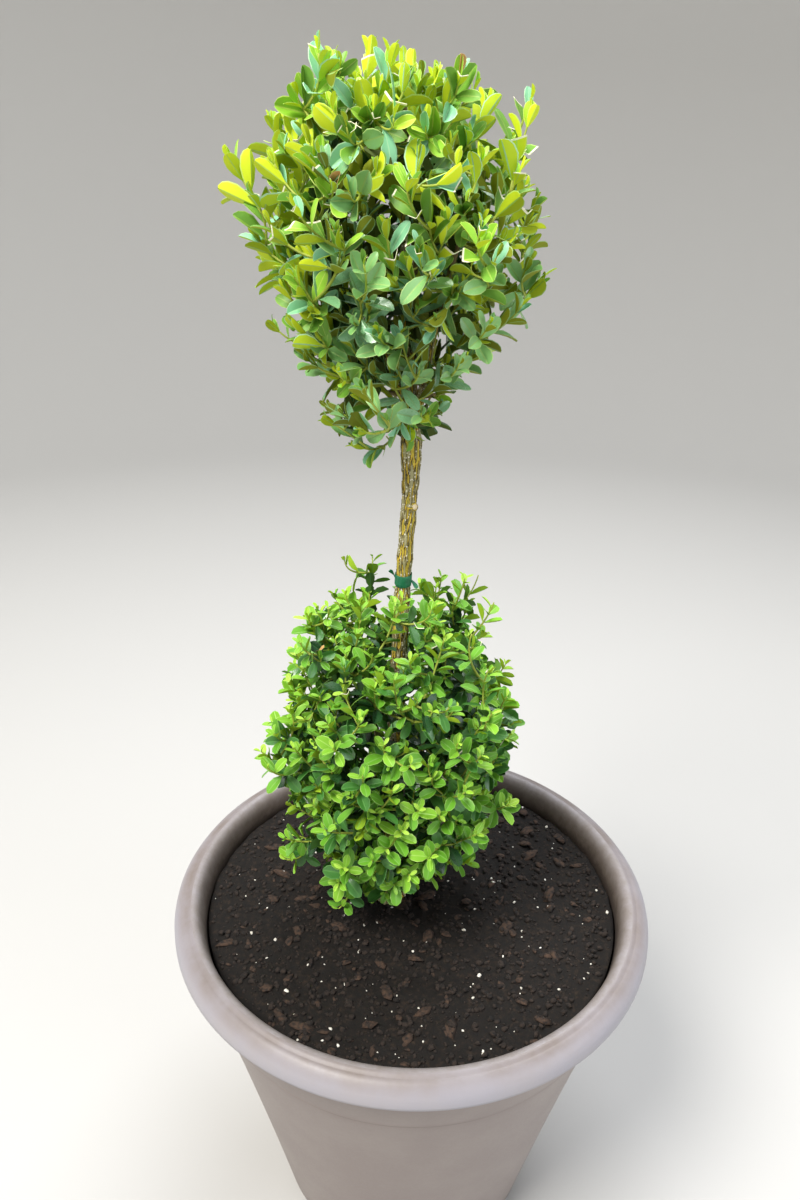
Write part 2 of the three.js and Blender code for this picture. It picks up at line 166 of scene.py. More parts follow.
def turned(vector, axis, angle):
    return Matrix.Rotation(angle, 3, axis) @ vector


# Points round the z axis
def ringPoints(radius, z, turns):
    angles = [2 * math.pi * k / turns for k in range(turns)]
    return [(radius * math.cos(angle), radius * math.sin(angle), z) for angle in angles]


# Faces between rings of points that follow one another, or the same faces turned over
def wallFaces(rings, sides, first=0, inward=False):
    faces = []
    for i in range(rings - 1):
        for k in range(sides):
            a, b = first + i * sides + k, first + i * sides + (k + 1) % sides
            faces.append((a, a + sides, b + sides, b) if inward else (a, b, b + sides, a + sides))
    return faces


def tubeFaces(rings, sides):
    last = (rings - 1) * sides
    return wallFaces(rings, sides) + [tuple(reversed(range(sides))), tuple(range(last, last + sides))]


# Directions along a way, with a side vector that doesn't twist
def framesAlong(centres):
    last = len(centres) - 1
    across = perpendicular(centres[1] - centres[0])
    frames = []
    for i, centre in enumerate(centres):
        along = (centres[min(i + 1, last)] - centres[max(i - 1, 0)]).normalized()
        across = (across - along * across.dot(along)).normalized()
        frames.append((centre, along, across))
    return frames


# A closed tube round a way, with a radius for each point of its rings
def tube(centres, radii, sides):
    points = []
    for i, (centre, along, across) in enumerate(framesAlong(centres)):
        other = along.cross(across)
        for k, radius in enumerate(radii[i * sides:(i + 1) * sides]):
            angle = 2 * math.pi * k / sides
            points.append(centre + (across * math.cos(angle) + other * math.sin(angle)) * radius)
    return points, tubeFaces(len(centres), sides)


# Each part has points, faces and perhaps a list with a value for each point
def mergeParts(parts):
    merged = [[] for _ in parts[0]]
    for points, faces, *values in parts:
        start = len(merged[0])
        shifted = [tuple(start + v for v in face) for face in faces]
        for whole, part in zip(merged, (points, shifted, *values)):
            whole += part
    return merged


# Camera, light and floor

view = {
    "place": (-14, -602, 870),
    "pitch": 24.9,
    "roll": 0.98,
    "focalPixels": 901,
    "framePixels": 1200,  # the frame's height
    "sensor": 36,
    "nearest": 10,
}


def placeCamera():
    pitch, roll = math.radians(view["pitch"]), math.radians(view["roll"])
    forward = Vector((0, math.cos(pitch), -math.sin(pitch)))
    level = Vector((0, math.sin(pitch), math.cos(pitch)))
    right = Vector((math.cos(roll), 0, 0)) + math.sin(roll) * level
    top = Vector((-math.sin(roll), 0, 0)) + math.cos(roll) * level
    data = bpy.data.cameras.new("camera")
    data.sensor_fit = "VERTICAL"
    data.sensor_height = view["sensor"]
    data.lens = view["focalPixels"] / view["framePixels"] * view["sensor"]
    data.clip_start = view["nearest"] * mm
    cameraObject = bpy.data.objects.new("camera", data)
    facing = Matrix((right, top, -forward)).transposed().to_4x4()
    cameraObject.matrix_world = Matrix.Translation(Vector(view["place"]) * mm) @ facing
    bpy.context.scene.collection.objects.link(cameraObject)
    bpy.context.scene.camera = cameraObject


# Soft daylight: a wide key from high on the left in front, a weaker fill from the right and
# a light from above and behind that catches the upper leaves
lamps = {
    "key": {"place": (-1150, -1150, 2850), "size": 1300, "power": 124, "colour": "#FFFCF7"},
    "fill": {"place": (1900, -1300, 1500), "size": 1700, "power": 24, "colour": "#EDF3FF"},
    "sky": {"place": (350, 900, 2700), "size": 1700, "power": 56, "colour": "#F6F9FF"},
}
aimHeight = 620
surroundings = {"colour": "#F1F2F2", "strength": 0.4}


def placeLights():
    aim = Vector((0, 0, aimHeight))
    for name, lamp in lamps.items():
        data = bpy.data.lights.new(name, "AREA")
        data.shape = "DISK"
        data.size = lamp["size"] * mm
        data.energy = lamp["power"]
        data.color = linearColour(lamp["colour"])[:3]
        lampObject = bpy.data.objects.new(name, data)
        place = Vector(lamp["place"])
        lampObject.location = place * mm
        lampObject.rotation_euler = (aim - place).to_track_quat("-Z", "Y").to_euler()
        bpy.context.scene.collection.objects.link(lampObject)
    world = bpy.data.worlds.new("studio")
    world.use_nodes = True
    background = world.node_tree.nodes["Background"]
    background.inputs["Color"].default_value = linearColour(surroundings["colour"])
    background.inputs["Strength"].default_value = surroundings["strength"]
    bpy.context.scene.world = world
    bpy.context.scene.view_settings.view_transform = "Standard"


# A round studio floor that curves up into a pale wall, the same from every side
cove = {"discRadius": 2500 / 3, "floorRadius": 2500, "bend": 1400, "height": 3600, "turns": 96,
        "bendSteps": 16}


def makeFloor():
    floorRadius, bend, turns = cove["floorRadius"], cove["bend"], cove["turns"]
    profile = [(cove["discRadius"], 0), (floorRadius, 0)]
    for angle in np.linspace(0, math.pi / 2, cove["bendSteps"] + 1)[1:]:
        profile.append((floorRadius + bend * math.sin(angle), bend * (1 - math.cos(angle))))
    profile.append((floorRadius + bend, cove["height"]))
    points = [point for radius, z in profile for point in ringPoints(radius, z, turns)]
    faces = [tuple(range(turns))] + wallFaces(len(profile), turns, inward=True)
    material = newMaterial("matt_studio_paint", "#BFBEBB", {"Roughness": 0.85})[0]
    floor = makeObject("floor", points, faces, [material])


placeCamera()
placeLights()
makeFloor()
print("camera, lights and floor placed")


# Planter: a round resin pot with a collar and a rolled rim, turned round its axis

pot = {
    "footRadius": 113,
    "heel": 6,
    "wallRadius": 117,
    "wallSlope": 0.205,
    "wallFlare": 0.00007,
    "wallSteps": 22,
    "wall": 5,
    "floor": 6,
    "collarFrom": 256,
    "collarStep": 1.4,
    "collarSteps": 9,
    "channelTop": 315,  # the collar ends here, behind the rim
    "insideTop": 290,
    "insideSteps": 8,
    "turns": 160,
}
# The rim's section as radius and height, from behind its outer lip over the crest, with
# the shallow crease beside it, and down inside to the throat
rimSection = [
    (196.4, 314), (196.4, 307), (196.9, 306.2), (199.2, 306.1), (199.9, 306.8), (199.9, 309),
    (199.7, 313), (198.6, 317), (196.4, 320.2), (193.6, 322.8), (191.2, 324.1), (189.9, 324.3),
    (188.9, 324.5), (187.6, 325.5), (185.6, 326), (183.2, 325.7), (181, 324.4), (179.2, 322.2),
    (177.6, 318.6), (176.4, 314), (175.2, 308), (174.2, 303),
]
outerPoints = 14  # section points up to the crest
bodySlot, rimSlot, insideSlot = range(3)


def wallRadius(z):
    return pot["wallRadius"] + pot["wallSlope"] * z + pot["wallFlare"] * z ** 2


# A closed shape turned round the z axis; the profile's first and last points lie on it
def turnProfile(profile, turns):
    points = [point for radius, z in profile[1:-1] for point in ringPoints(radius, z, turns)]
    rings = len(profile) - 2
    faces = wallFaces(rings, turns)
    first, last = len(points), len(points) + 1
    points += [(0, 0, profile[0][1]), (0, 0, profile[-1][1])]
    start = (rings - 1) * turns
    for k in range(turns):
        faces.append((k, first, (k + 1) % turns))
        faces.append((start + k, start + (k + 1) % turns, last))
    return points, faces, rings


# The broad mottle of the resin, which its dust follows
def mottle(tree, place):
    settings = {"Vector": place, "Scale": 1 / (55 * mm), "Detail": 5, "Roughness": 0.62}
    return addNode(tree, "TexNoise", "Fac", settings)


# Moulded polyethylene resin, tinted through: a soft satin with a faint mottle and dust, browned where a mask
# of dirt and painted shade lies
def resinMaterial(name, bodyHex, dustHex, roughness, dustAmount, shadeAndDirt):
    material, tree, shader = newMaterial(name, bodyHex, {"IOR": 1.5})
    place = addNode(tree, "TexCoord", "Object")
    speck = addNode(tree, "TexNoise", "Fac", {"Vector": place, "Scale": 1 / (2.2 * mm), "Detail": 3})
    dust = addNode(tree, "MapRange", "Result", {
        "Value": mottle(tree, place), "From Min": 0.42, "From Max": 0.72, "To Max": dustAmount})
    dusty = addNode(tree, "Mix", 2, {"data_type": "RGBA", 0: dust, 6: bodyHex, 7: dustHex})
    shadeAndDirtMix = {"data_type": "RGBA", 0: shadeAndDirt(tree, place), 6: dusty, 7: "#6B5E54"}
    gloss = {"Value": speck, "To Min": roughness - 0.07, "To Max": roughness + 0.09}
    relief = {"Height": speck, "Distance": 0.12 * mm, "Strength": 0.35}
    setNode(tree, shader, {
        "Base Color": addNode(tree, "Mix", 2, shadeAndDirtMix),
        "Roughness": addNode(tree, "MapRange", "Result", gloss),
        "Normal": addNode(tree, "Bump", "Normal", relief),
    })
    return material


# Painted shade and grime under the collar's edge, on the strip that its overhang leaves in sight: a crisp
# dark line above that fades downwards
def collarShadeAndGrime(tree, place):
    edge = pot["collarFrom"]
    height = addNode(tree, "SeparateXYZ", "Z", {"Vector": place})
    below = addNode(tree, "MapRange", "Result", {
        "Value": height, "From Min": (edge - 16) * mm, "From Max": edge * mm})
    stops = [(0.3, "#000000"), (0.68, "#4A4A4A"), (0.78, "#BABABA"), (0.98, "#BABABA"), (1.0, "#000000")]
    return addNode(tree, "ValToRGB", "Color", {"Fac": below, "stops": stops})


# Brown dust on top of the rim, thickest inside and along the crease, with painted shade in it along the inner
# lip by the soil; its upright face is clean
def creaseDustAndShade(tree, place):
    flat = addNode(tree, "VectorMath", "Vector", {"operation": "MULTIPLY", 0: place, 1: (1, 1, 0)})
    out = addNode(tree, "VectorMath", "Value", {"operation": "LENGTH", 0: flat})
    reach = addNode(tree, "MapRange", "Result", {"Value": out, "From Min": 183 * mm, "From Max": 201 * mm})
    stops = [(0.2, "#DCDCDC"), (0.38, "#E2E2E2"), (0.59, "#CACACA"), (0.75, "#A2A2A2"), (0.93, "#202020")]
    dust = addNode(tree, "ValToRGB", "Color", {"Fac": reach, "stops": stops})
    patches = addNode(tree, "MapRange", "Result", {
        "Value": mottle(tree, place), "From Min": 0.36, "From Max": 0.62, "To Min": 0.7, "To Max": 1.1})
    return addNode(tree, "Math", "Value", {"operation": "MULTIPLY", 0: dust, 1: patches})


# The same resin inside the rim: darker, browner and rougher towards the soil, up to an uneven line, and
# lighter near the crest
def insideWallResin():
    material, tree, shader = newMaterial("moulded_resin_inside_darkening", "#8C8079", {"IOR": 1.5})
    place = addNode(tree, "TexCoord", "Object")
    height = addNode(tree, "SeparateXYZ", "Z", {"Vector": place})
    blotch = addNode(tree, "TexNoise", "Fac", {
        "Vector": place, "Scale": 1 / (14 * mm), "Detail": 5, "Roughness": 0.7})
    uneven = addNode(tree, "Math", "Value", {"operation": "MULTIPLY_ADD", 0: blotch, 1: 16 * mm, 2: -8 * mm})
    level = addNode(tree, "Math", "Value", {"operation": "ADD", 0: height, 1: uneven})
    upTheWall = addNode(tree, "MapRange", "Result", {"Value": level, "From Min": 307 * mm, "From Max": 328 * mm})
    stops = [(0.0, "#3E332B"), (0.3, "#5F544C"), (0.7, "#7B726D"), (1.0, "#8D8788")]
    setNode(tree, shader, {
        "Base Color": addNode(tree, "ValToRGB", "Color", {"Fac": upTheWall, "stops": stops}),
        "Roughness": addNode(tree, "MapRange", "Result", {"Value": upTheWall, "To Min": 0.75, "To Max": 0.45}),
        "Normal": addNode(tree, "Bump", "Normal", {"Height": blotch, "Distance": 0.2 * mm, "Strength": 0.4}),
    })
    return material


def makePot():
    foot, wall, floor = pot["footRadius"], pot["wall"], pot["floor"]
    collar, step = pot["collarFrom"], pot["collarStep"]
    outside = [(0, 0), (foot - 3, 0), (foot, 0.4), (wallRadius(2) - 2, 2)]
    outside += [(wallRadius(z), z) for z in np.linspace(pot["heel"], collar - 4, pot["wallSteps"])]
    outside += [(wallRadius(collar - 2) - 0.3, collar - 2),
                (wallRadius(collar - 1) + step * 0.25, collar - 1),
                (wallRadius(collar) + step, collar - 0.2), (wallRadius(collar) + step, collar + 1)]
    outside += [(wallRadius(z) + step * 0.8, z)
                for z in np.linspace(collar + 3, pot["channelTop"], pot["collarSteps"])]
    inside = [(wallRadius(z) - wall, z) for z in np.linspace(pot["insideTop"], floor + 3, pot["insideSteps"])]
    inside += [(foot - wall, floor), (0, floor)]
    points, faces, rings = turnProfile(outside + rimSection + inside, pot["turns"])
    bodyEnd = len(outside) - 1
    crest = bodyEnd + outerPoints
    slots = []
    for i in range(rings - 1):
        slots += [bodySlot if i < bodyEnd else rimSlot if i < crest else insideSlot] * pot["turns"]
    slots += [bodySlot, insideSlot] * pot["turns"]
    materials = [
        resinMaterial("moulded_resin_taupe", "#8D827E", "#978D88", 0.48, 0.7, collarShadeAndGrime),
        # the rim is the body's resin, but lighter and more lavender: painted light and a painted sheen of the
        # sky on its upward faces
        resinMaterial("moulded_resin_rim_sky_sheen", "#A29FA7", "#A6A0A2", 0.44, 0.8, creaseDustAndShade),
        insideWallResin(),
    ]
    makePiece("round_pot", points, faces, materials, "pot_resin", ["pot"], slots, sharpAngle=50)


makePot()
print("pot turned")


# Potting soil: a lumpy surface with crumbs, white perlite and chips of bark

soil = {
    "level": 311,
    "edge": 306,
    "settled": 1.5,
    "reach": 172.6,
    "flatRadius": 60,
    "depth": 40,
    "clearance": 0.6,
    "rings": 74,
    "turns": 200,
    "edgeCurve": 1.5,
    "lump": 2.4,
    "lumpSize": 24,
    "lumpShift": 7,
    "grain": 1.3,
    "grainSize": 4.2,
    "grainShift": 31,
    "grainForm": (0.8, 2.1, 3),  # how the grain's finer parts fade, shrink and number
}


def soilHeight(x, y):
    out = math.hypot(x, y)
    fall = clamp((out - soil["flatRadius"]) / (soil["reach"] - soil["flatRadius"]))
    lump = noise.noise(Vector((x, y, soil["lumpShift"])) / soil["lumpSize"]) * soil["lump"]
    grain = Vector((x, y, soil["grainShift"])) / soil["grainSize"]
    grain = noise.fractal(grain, *soil["grainForm"]) * soil["grain"]
    return between(soil["level"], soil["edge"], fall ** soil["edgeCurve"]) + lump + grain - soil["settled"]


# Peat and compost: black-brown, dull, a little damp in the hollows
def darkSoilMaterial():
    grain = {"size": 5, "detail": 6, "fineness": 0.7, "depth": 1.2, "strength": 0.8}
    stops = [(0.3, "#060504"), (0.54, "#15100C"), (0.76, "#32271E")]
    return grainyMaterial("damp_potting_compost", "#231B16", grain, stops, (0.7, 1.0),
                          {"Specular IOR Level": 0.3})


# Loose bits in the soil: dull, darker in their pores
def crumbMaterial(name, baseHex, deepHex, size, roughness):
    grain = {"size": size, "detail": 4, "depth": 0.3}
    return grainyMaterial(name, baseHex, grain, [(0.35, deepHex), (0.6, baseHex)],
                          settings={"Roughness": roughness})


def icosahedron():
    long = (1 + math.sqrt(5)) / 2
    corners = [(-1, long, 0), (1, long, 0), (-1, -long, 0), (1, -long, 0), (0, -1, long), (0, 1, long),
               (0, -1, -long), (0, 1, -long), (long, 0, -1), (long, 0, 1), (-long, 0, -1), (-long, 0, 1)]
    faces = [(0, 11, 5), (0, 5, 1), (0, 1, 7), (0, 7, 10), (0, 10, 11), (1, 5, 9), (5, 11, 4), (11, 10, 2),
             (10, 7, 6), (7, 1, 8), (3, 9, 4), (3, 4, 2), (3, 2, 6), (3, 6, 8), (3, 8, 9), (4, 9, 5),
             (2, 4, 11), (6, 2, 10), (8, 6, 7), (9, 8, 1)]
    return np.array(corners) / math.hypot(1, long), np.array(faces)


# Each kind's size range, its shape, and its material's name, two colours, grain and roughness
grains = {
    "compost_crumbs": {"count": 3600, "size": (1.2, 5.2), "flat": 0.7, "long": 1.3, "seed": 11,
                       "finish": ("peat_crumb", "#2A2019", "#0D0907", 3, 0.95)},
    "perlite": {"count": 230, "size": (0.8, 3.4), "flat": 0.7, "long": 1.3, "seed": 12,
                "finish": ("expanded_perlite", "#E9E6DC", "#B7B0A0", 1.5, 0.9)},
    "bark_chips": {"count": 200, "size": (2.6, 11.0), "flat": 0.22, "long": 2.1, "seed": 13,
                   "finish": ("shredded_pine_bark", "#412F22", "#17100C", 3, 0.9)},
}
scatter = {
    "edgeRoom": 3,
    "sizePower": 2.2,  # most grains are near the small end of their range
    "irregular": 0.7,
    "turn": 6.28,
    "tilt": 0.9,
    "lift": 0.22,
}


def scatterGrains(name, spec):
    rng = np.random.default_rng(spec["seed"])
    corners, faces = icosahedron()
    allPoints, allFaces = [], []
    for i in range(spec["count"]):
        out = (soil["reach"] - scatter["edgeRoom"]) * math.sqrt(rng.random())
        angle = rng.random() * 2 * math.pi
        x, y = out * math.cos(angle), out * math.sin(angle)
        size = between(*spec["size"], rng.random() ** scatter["sizePower"])
        shape = corners * (1 + scatter["irregular"] * (rng.random((len(corners), 1)) - 0.5))
        shape = shape * (size / 2 * spec["long"], size / 2, size / 2 * spec["flat"])
        spin = Matrix.Rotation(rng.random() * scatter["turn"], 3, "Z")
        lean = Matrix.Rotation((rng.random() - 0.5) * scatter["tilt"], 3, "Y")
        height = soilHeight(x, y) + size * spec["flat"] * scatter["lift"]
        allPoints.append(shape @ np.array(spin @ lean).T + (x, y, height))
        allFaces.append(faces + len(corners) * i)
    makePiece(name, np.concatenate(allPoints), np.concatenate(allFaces), [crumbMaterial(*spec["finish"])],
              "potting_soil", ["soil"])


def makeSoil():
    rings, turns = soil["rings"], soil["turns"]
    points = [(0, 0, soilHeight(0, 0))]
    for i in range(1, rings + 1):
        points += [(x, y, soilHeight(x, y)) for x, y, _ in ringPoints(soil["reach"] * i / rings, 0, turns)]
    foot = len(points)
    deep = soil["edge"] - soil["depth"]
    points += ringPoints(wallRadius(deep) - pot["wall"] - soil["clearance"], deep, turns)
    faces = [(0, 1 + k, 1 + (k + 1) % turns) for k in range(turns)]
    faces += wallFaces(rings + 1, turns, first=1, inward=True)
    faces.append(tuple(foot + k for k in reversed(range(turns))))
    makePiece("potting_compost", points, faces, [darkSoilMaterial()], "potting_soil", ["soil"])
    for name, spec in grains.items():
        scatterGrains(name, spec)


makeSoil()
print("soil laid")


# Stem and boughs: one line through named points, and bark with corky ridges in relief

stem = {
    "points": [(-20, 0, 311.3), (-15, 2, 500), (-12, 0, 605), (-8, 0, 702), (-16, 2, 862)],
    "lineSteps": 4000,
    "baseRadius": 7.4,
    "neckRadius": 5.2,
    "tipRadius": 2.6,
    "neckHeight": 605,
    "forkHeight": 702,
    "flare": 6.5,
    "flareHeight": 13,
    "forkSwelling": 1.6,
    "forkSpread": 16,
    "sides": 56,
    "ringStep": 0.9,
    "sunk": 4,  # how far the visible foot runs down into the soil
}
stemPoints = [Vector(p) for p in stem["points"]]
footHeight, tipHeight = stemPoints[0].z, stemPoints[-1].z


# A centripetal spline through the points, as the stem grows
def splinePoint(points, share):
    last = len(points) - 1
    i = min(int(share * last), last - 1)
    local = share * last - i
    p1, p2 = points[i], points[i + 1]
    p0 = points[i - 1] if i > 0 else 2 * points[0] - points[1]
    p3 = points[i + 2] if i + 2 <= last else 2 * points[-1] - points[-2]
    d0, d1, d2 = ((b - a).length ** 0.5 for a, b in ((p0, p1), (p1, p2), (p2, p3)))
    t1 = ((p1 - p0) / d0 - (p2 - p0) / (d0 + d1) + (p2 - p1) / d1) * d1
    t2 = ((p2 - p1) / d1 - (p3 - p1) / (d1 + d2) + (p3 - p2) / d2) * d1
    square, cube = local ** 2, local ** 3
    return p1 + t1 * local + (3 * p2 - 3 * p1 - 2 * t1 - t2) * square + (2 * p1 - 2 * p2 + t1 + t2) * cube


stemLine = np.array([splinePoint(stemPoints, i / stem["lineSteps"]) for i in range(stem["lineSteps"] + 1)])


def stemPoint(z):
    return Vector((float(np.interp(z, stemLine[:, 2], stemLine[:, 0])),
                   float(np.interp(z, stemLine[:, 2], stemLine[:, 1])), z))


def stemRadius(z):
    above = z - footHeight
    clear = clamp(above / (stem["neckHeight"] - footHeight))
    leader = clamp((z - stem["forkHeight"]) / (tipHeight - stem["forkHeight"]))
    plain = between(stem["baseRadius"], stem["neckRadius"], clear)
    flare = stem["flare"] * math.exp(-max(above, 0) / stem["flareHeight"])
    swelling = stem["forkSwelling"] * math.exp(-((z - stem["forkHeight"]) / stem["forkSpread"]) ** 2)
    return between(plain, stem["tipRadius"], leader) + flare + swelling


bark = {
    "ridgeWidth": 1.25,
    "ridgeLength": 12,
    "flakeWidth": 0.7,
    "flakeLength": 1.8,
    "flakeShift": 50,
    # the height of the bark, from 0 in a smooth stripe to 1 on a corky ridge
    "level": 0.58,
    "ridgeShare": 1.5,
    "flakeShare": 0.3,
    "middle": 0.6,  # bark of this height leaves the limb's radius as it is
    "relief": 0.2,  # height of the corky ridges as a share of the limb's radius
    "flakes": 0.07,
    "knobStep": 29,  # distance between the old leaf nodes, which swell a little
    "knobWidth": 0.02,
    "knobSwelling": 0.12,
}


def barkNoise(side, z, radius, width, length, shift=0):
    return noise.noise(Vector((side.x * radius / width, side.y * radius / width, z / length + shift)))


# A closed limb with bark in relief, and the height of the bark at each point
def barkTube(centres, radii, sides, knobs=0.0):
    grown, heights = [], []
    for centre, radius in zip(centres, radii):
        z = centre.z
        offKnob = (z % bark["knobStep"]) / bark["knobStep"] - 0.5
        knob = 1 + knobs * math.exp(-offKnob ** 2 / bark["knobWidth"])
        for k in range(sides):
            side = polar(360 * k / sides, 1, 0)
            ridge = barkNoise(side, z, radius, bark["ridgeWidth"], bark["ridgeLength"])
            flake = barkNoise(side, z, radius, bark["flakeWidth"], bark["flakeLength"], bark["flakeShift"])
            height = clamp(bark["level"] + bark["ridgeShare"] * ridge + bark["flakeShare"] * flake)
            swell = knob + bark["relief"] * (height - bark["middle"]) + bark["flakes"] * flake
            grown.append(radius * swell)
            heights.append(height)
    return *tube(centres, grown, sides), heights


# Boxwood bark: smooth ochre stripes where it has split, each with a dark edge, between
# grey-brown corky ridges that carry pale flecks
def boxwoodBark():
    material, tree, shader = newMaterial("split_corky_boxwood_bark", "#8A7440", {"Specular IOR Level": 0.35})
    place = addNode(tree, "TexCoord", "Object")
    height = addNode(tree, "Attribute", "Fac", {"attribute_name": "barkHeight"})
    fibre = addNode(tree, "TexNoise", "Fac", {
        "Vector": place, "Scale": 1 / (1.1 * mm), "Detail": 5, "Roughness": 0.7})
    rough = addNode(tree, "Math", "Value", {"operation": "MULTIPLY_ADD", 0: fibre, 1: 0.34, 2: -0.17})
    shade = addNode(tree, "Math", "Value", {"operation": "ADD", 0: height, 1: rough})
    stops = [(0.0, "#8E8A38"), (0.2, "#D2B840"), (0.38, "#B49630"), (0.45, "#2A210E"), (0.53, "#43381E"),
             (0.66, "#726A40"), (0.92, "#9E9870")]
    stripes = addNode(tree, "ValToRGB", "Color", {"Fac": shade, "stops": stops})
    spots = addNode(tree, "TexVoronoi", "Distance", {"Vector": place, "Scale": 1 / (2.1 * mm)})
    flecked = addNode(tree, "MapRange", "Result", {
        "Value": spots, "From Min": 0.34, "From Max": 0.2, "To Max": 0.9})
    onRidge = addNode(tree, "MapRange", "Result", {"Value": shade, "From Min": 0.52, "From Max": 0.75})
    share = addNode(tree, "Math", "Value", {"operation": "MULTIPLY", 0: flecked, 1: onRidge})
    setNode(tree, shader, {
        "Base Color": addNode(tree, "Mix", 2, {"data_type": "RGBA", 0: share, 6: stripes, 7: "#EDE7D4"}),
        "Roughness": addNode(tree, "MapRange", "Result", {"Value": height, "To Min": 0.55, "To Max": 0.95}),
        "Normal": addNode(tree, "Bump", "Normal", {"Height": fibre, "Distance": 0.5 * mm, "Strength": 0.8}),
    })
    return material


# A healed pruning cut: pale end grain, flecked darker by a fine grain
def prunedWood():
    grain = {"size": 0.8, "detail": 3, "depth": 0.2}
    return grainyMaterial("pruned_end_grain", "#E6D8B4", grain, [(0, "#EFE5C8"), (1, "#B99E68")],
                          settings={"Roughness": 0.8})


barkMaterial = boxwoodBark()


def makeBarkPiece(name, limb, replaced=()):
    points, faces, heights = limb
    piece = makePiece(name, points, faces, [barkMaterial], "bark", replaced)
    attribute = piece.data.attributes.new("barkHeight", "FLOAT", "POINT")
    attribute.data.foreach_set("value", np.array(heights, dtype=np.float32))


# The stub of a pruned side shoot: its callus and its cut as shares of the length and the radius
scar = {
    "height": 663,
    "azimuth": -55,
    "radius": 2.7,
    "length": 7.4,
    "rise": 2,
    "callus": [(0.3, 1.5), (0.6, 1.35), (0.75, 1.2), (0.88, 1.12), (0.97, 1.02), (1.0, 0.85)],
    "callusSides": 24,
    "cut": [(0.98, 0.8), (1.035, 0.72), (1.05, 0.4)],
    "cutSides": 20,
}


def makeStem():
    steps = int((tipHeight - footHeight + stem["sunk"]) / stem["ringStep"])
    levels = np.linspace(footHeight - stem["sunk"], tipHeight, steps).tolist()
    trunk = barkTube([stemPoint(z) for z in levels], [stemRadius(z) for z in levels], stem["sides"],
                     bark["knobSwelling"])
    makeBarkPiece("stem_bark", trunk, ["stem"])
    start = stemPoint(scar["height"])
    out = polar(scar["azimuth"], scar["length"], scar["rise"])
    callus, cut = (
        barkTube([start + out * share for share, _ in scar[part]],
                 [scar["radius"] * width for _, width in scar[part]], scar[part + "Sides"])
        for part in ("callus", "cut"))
    makeBarkPiece("pruned_stub_bark", callus)
    makePiece("pruned_stub_cut", cut[0], cut[1], [prunedWood()], "bark")


makeStem()
print("stem grown")


# How the plant branches: each head is an egg-shaped outline, shared out between masses of
# leaves, and its shoots end at evenly spread places on the outline

crown = {
    "name": "crown",
    "x": -24,
    "base": 700,
    "top": 956,
    "radius": 94,
    "widest": 1.36,
    "fullness": 0.44,
    "heart": 828,
    "source": (-10, 0, 690),
    "cover": 0.99,  # share of the skin that bears shoots, from the top down
    "ragged": 0.24,
    "fineRagged": 0.36,  # the same for the finer shoots, few of which stand out
    "seed": 3,
    "mainShoots": 58,
    "mainDrawIn": 19.2,  # how far the main shoots' tips stay inside the outline
    "drawIn": 9,
    # finer shoots: count, share of the reach, rank from the outside in, least and greatest
    # height
    "layers": [(200, 1.0, 0, 0, 999), (160, 0.86, 1, 0, 999), (120, 0.68, 2, 0, 999), (900, 0.94, 1, 0, 744)],
    "leafLength": 21.5,
    "leafWidth": 10.2,
    "leafGrowth": (0.86, 1.12),  # how much smaller or larger leaves are at the base and the top
    "twigColours": ("#8C7B4B", "#5E5034"),
    "shootColours": ("#B2BC4A", "#8E9C38"),
    "outerLeaves": "fine",
    "finePairs": (6, 3, 0),  # pairs of finer leaves on each layer of shoots
    "pairSpacing": 6,
    "pairs": 7,
    "tipSpread": 16,
    "spread": 50,
    "lightTurn": 0.16,
    "clipped": 0.2,  # share of the outer leaves cut across by the shears
    "dried": 0.001,
    "skySheenShare": 0.2,  # share of the outer leaves with a bluish tint, a painted reflection of the sky
    "beyond": 12,  # how far leaves may reach past the outline
    # how old a shoot looks: in the shade, what the sun takes off, and what each layer
    # inwards, each pair of leaves and the draw add
    "age": {"shade": 2.1, "sun": 1.85, "layer": 1.35, "pair": 0.3, "draw": 2},
    "sunFrom": 0.35,  # share of the height where the sunny part starts
    "leftSun": 0.5,  # how far the left side counts as sunny too
}
ball = {
    "name": "ball",
    "x": -16,
    "base": 320,
    "top": 600,
    "radius": 104,
    "widest": 1.2,
    "fullness": 0.3,
    "heart": 450,
    "source": (-19, 0, 335),
    "cover": 0.97,
    "ragged": 0.24,
    "fineRagged": 0.3,
    "seed": 8,
    "mainShoots": 57,
    "mainDrawIn": 18.6,
    "drawIn": 6,
    "layers": [(210, 1.0, 0, 0, 999), (190, 0.84, 1, 0, 999), (120, 0.66, 2, 0, 999), (320, 0.9, 1, 545, 999),
               (400, 1.0, 0, 584, 999)],
    "leafLength": 17,
    "leafWidth": 9.2,
    "leafGrowth": (1.06, 0.92),
    "twigColours": ("#6E7638", "#4C522A"),
    "shootColours": ("#A2AE42", "#7C8A32"),
    "outerLeaves": "trim",
    "finePairs": (6, 3, 0),
    "pairSpacing": 4.4,
    "pairs": 12,
    "tipSpread": 46,
    "spread": 64,
    "lightTurn": 0.42,
    "clipped": 0.02,
    "dried": 0.0006,
    "skySheenShare": 0,
    "beyond": 14,
    "age": {"shade": 0.5, "sun": 0.4, "layer": 1.1, "pair": 0.62, "draw": 1.3},
    "sunFrom": 0,
    "leftSun": 0,
}
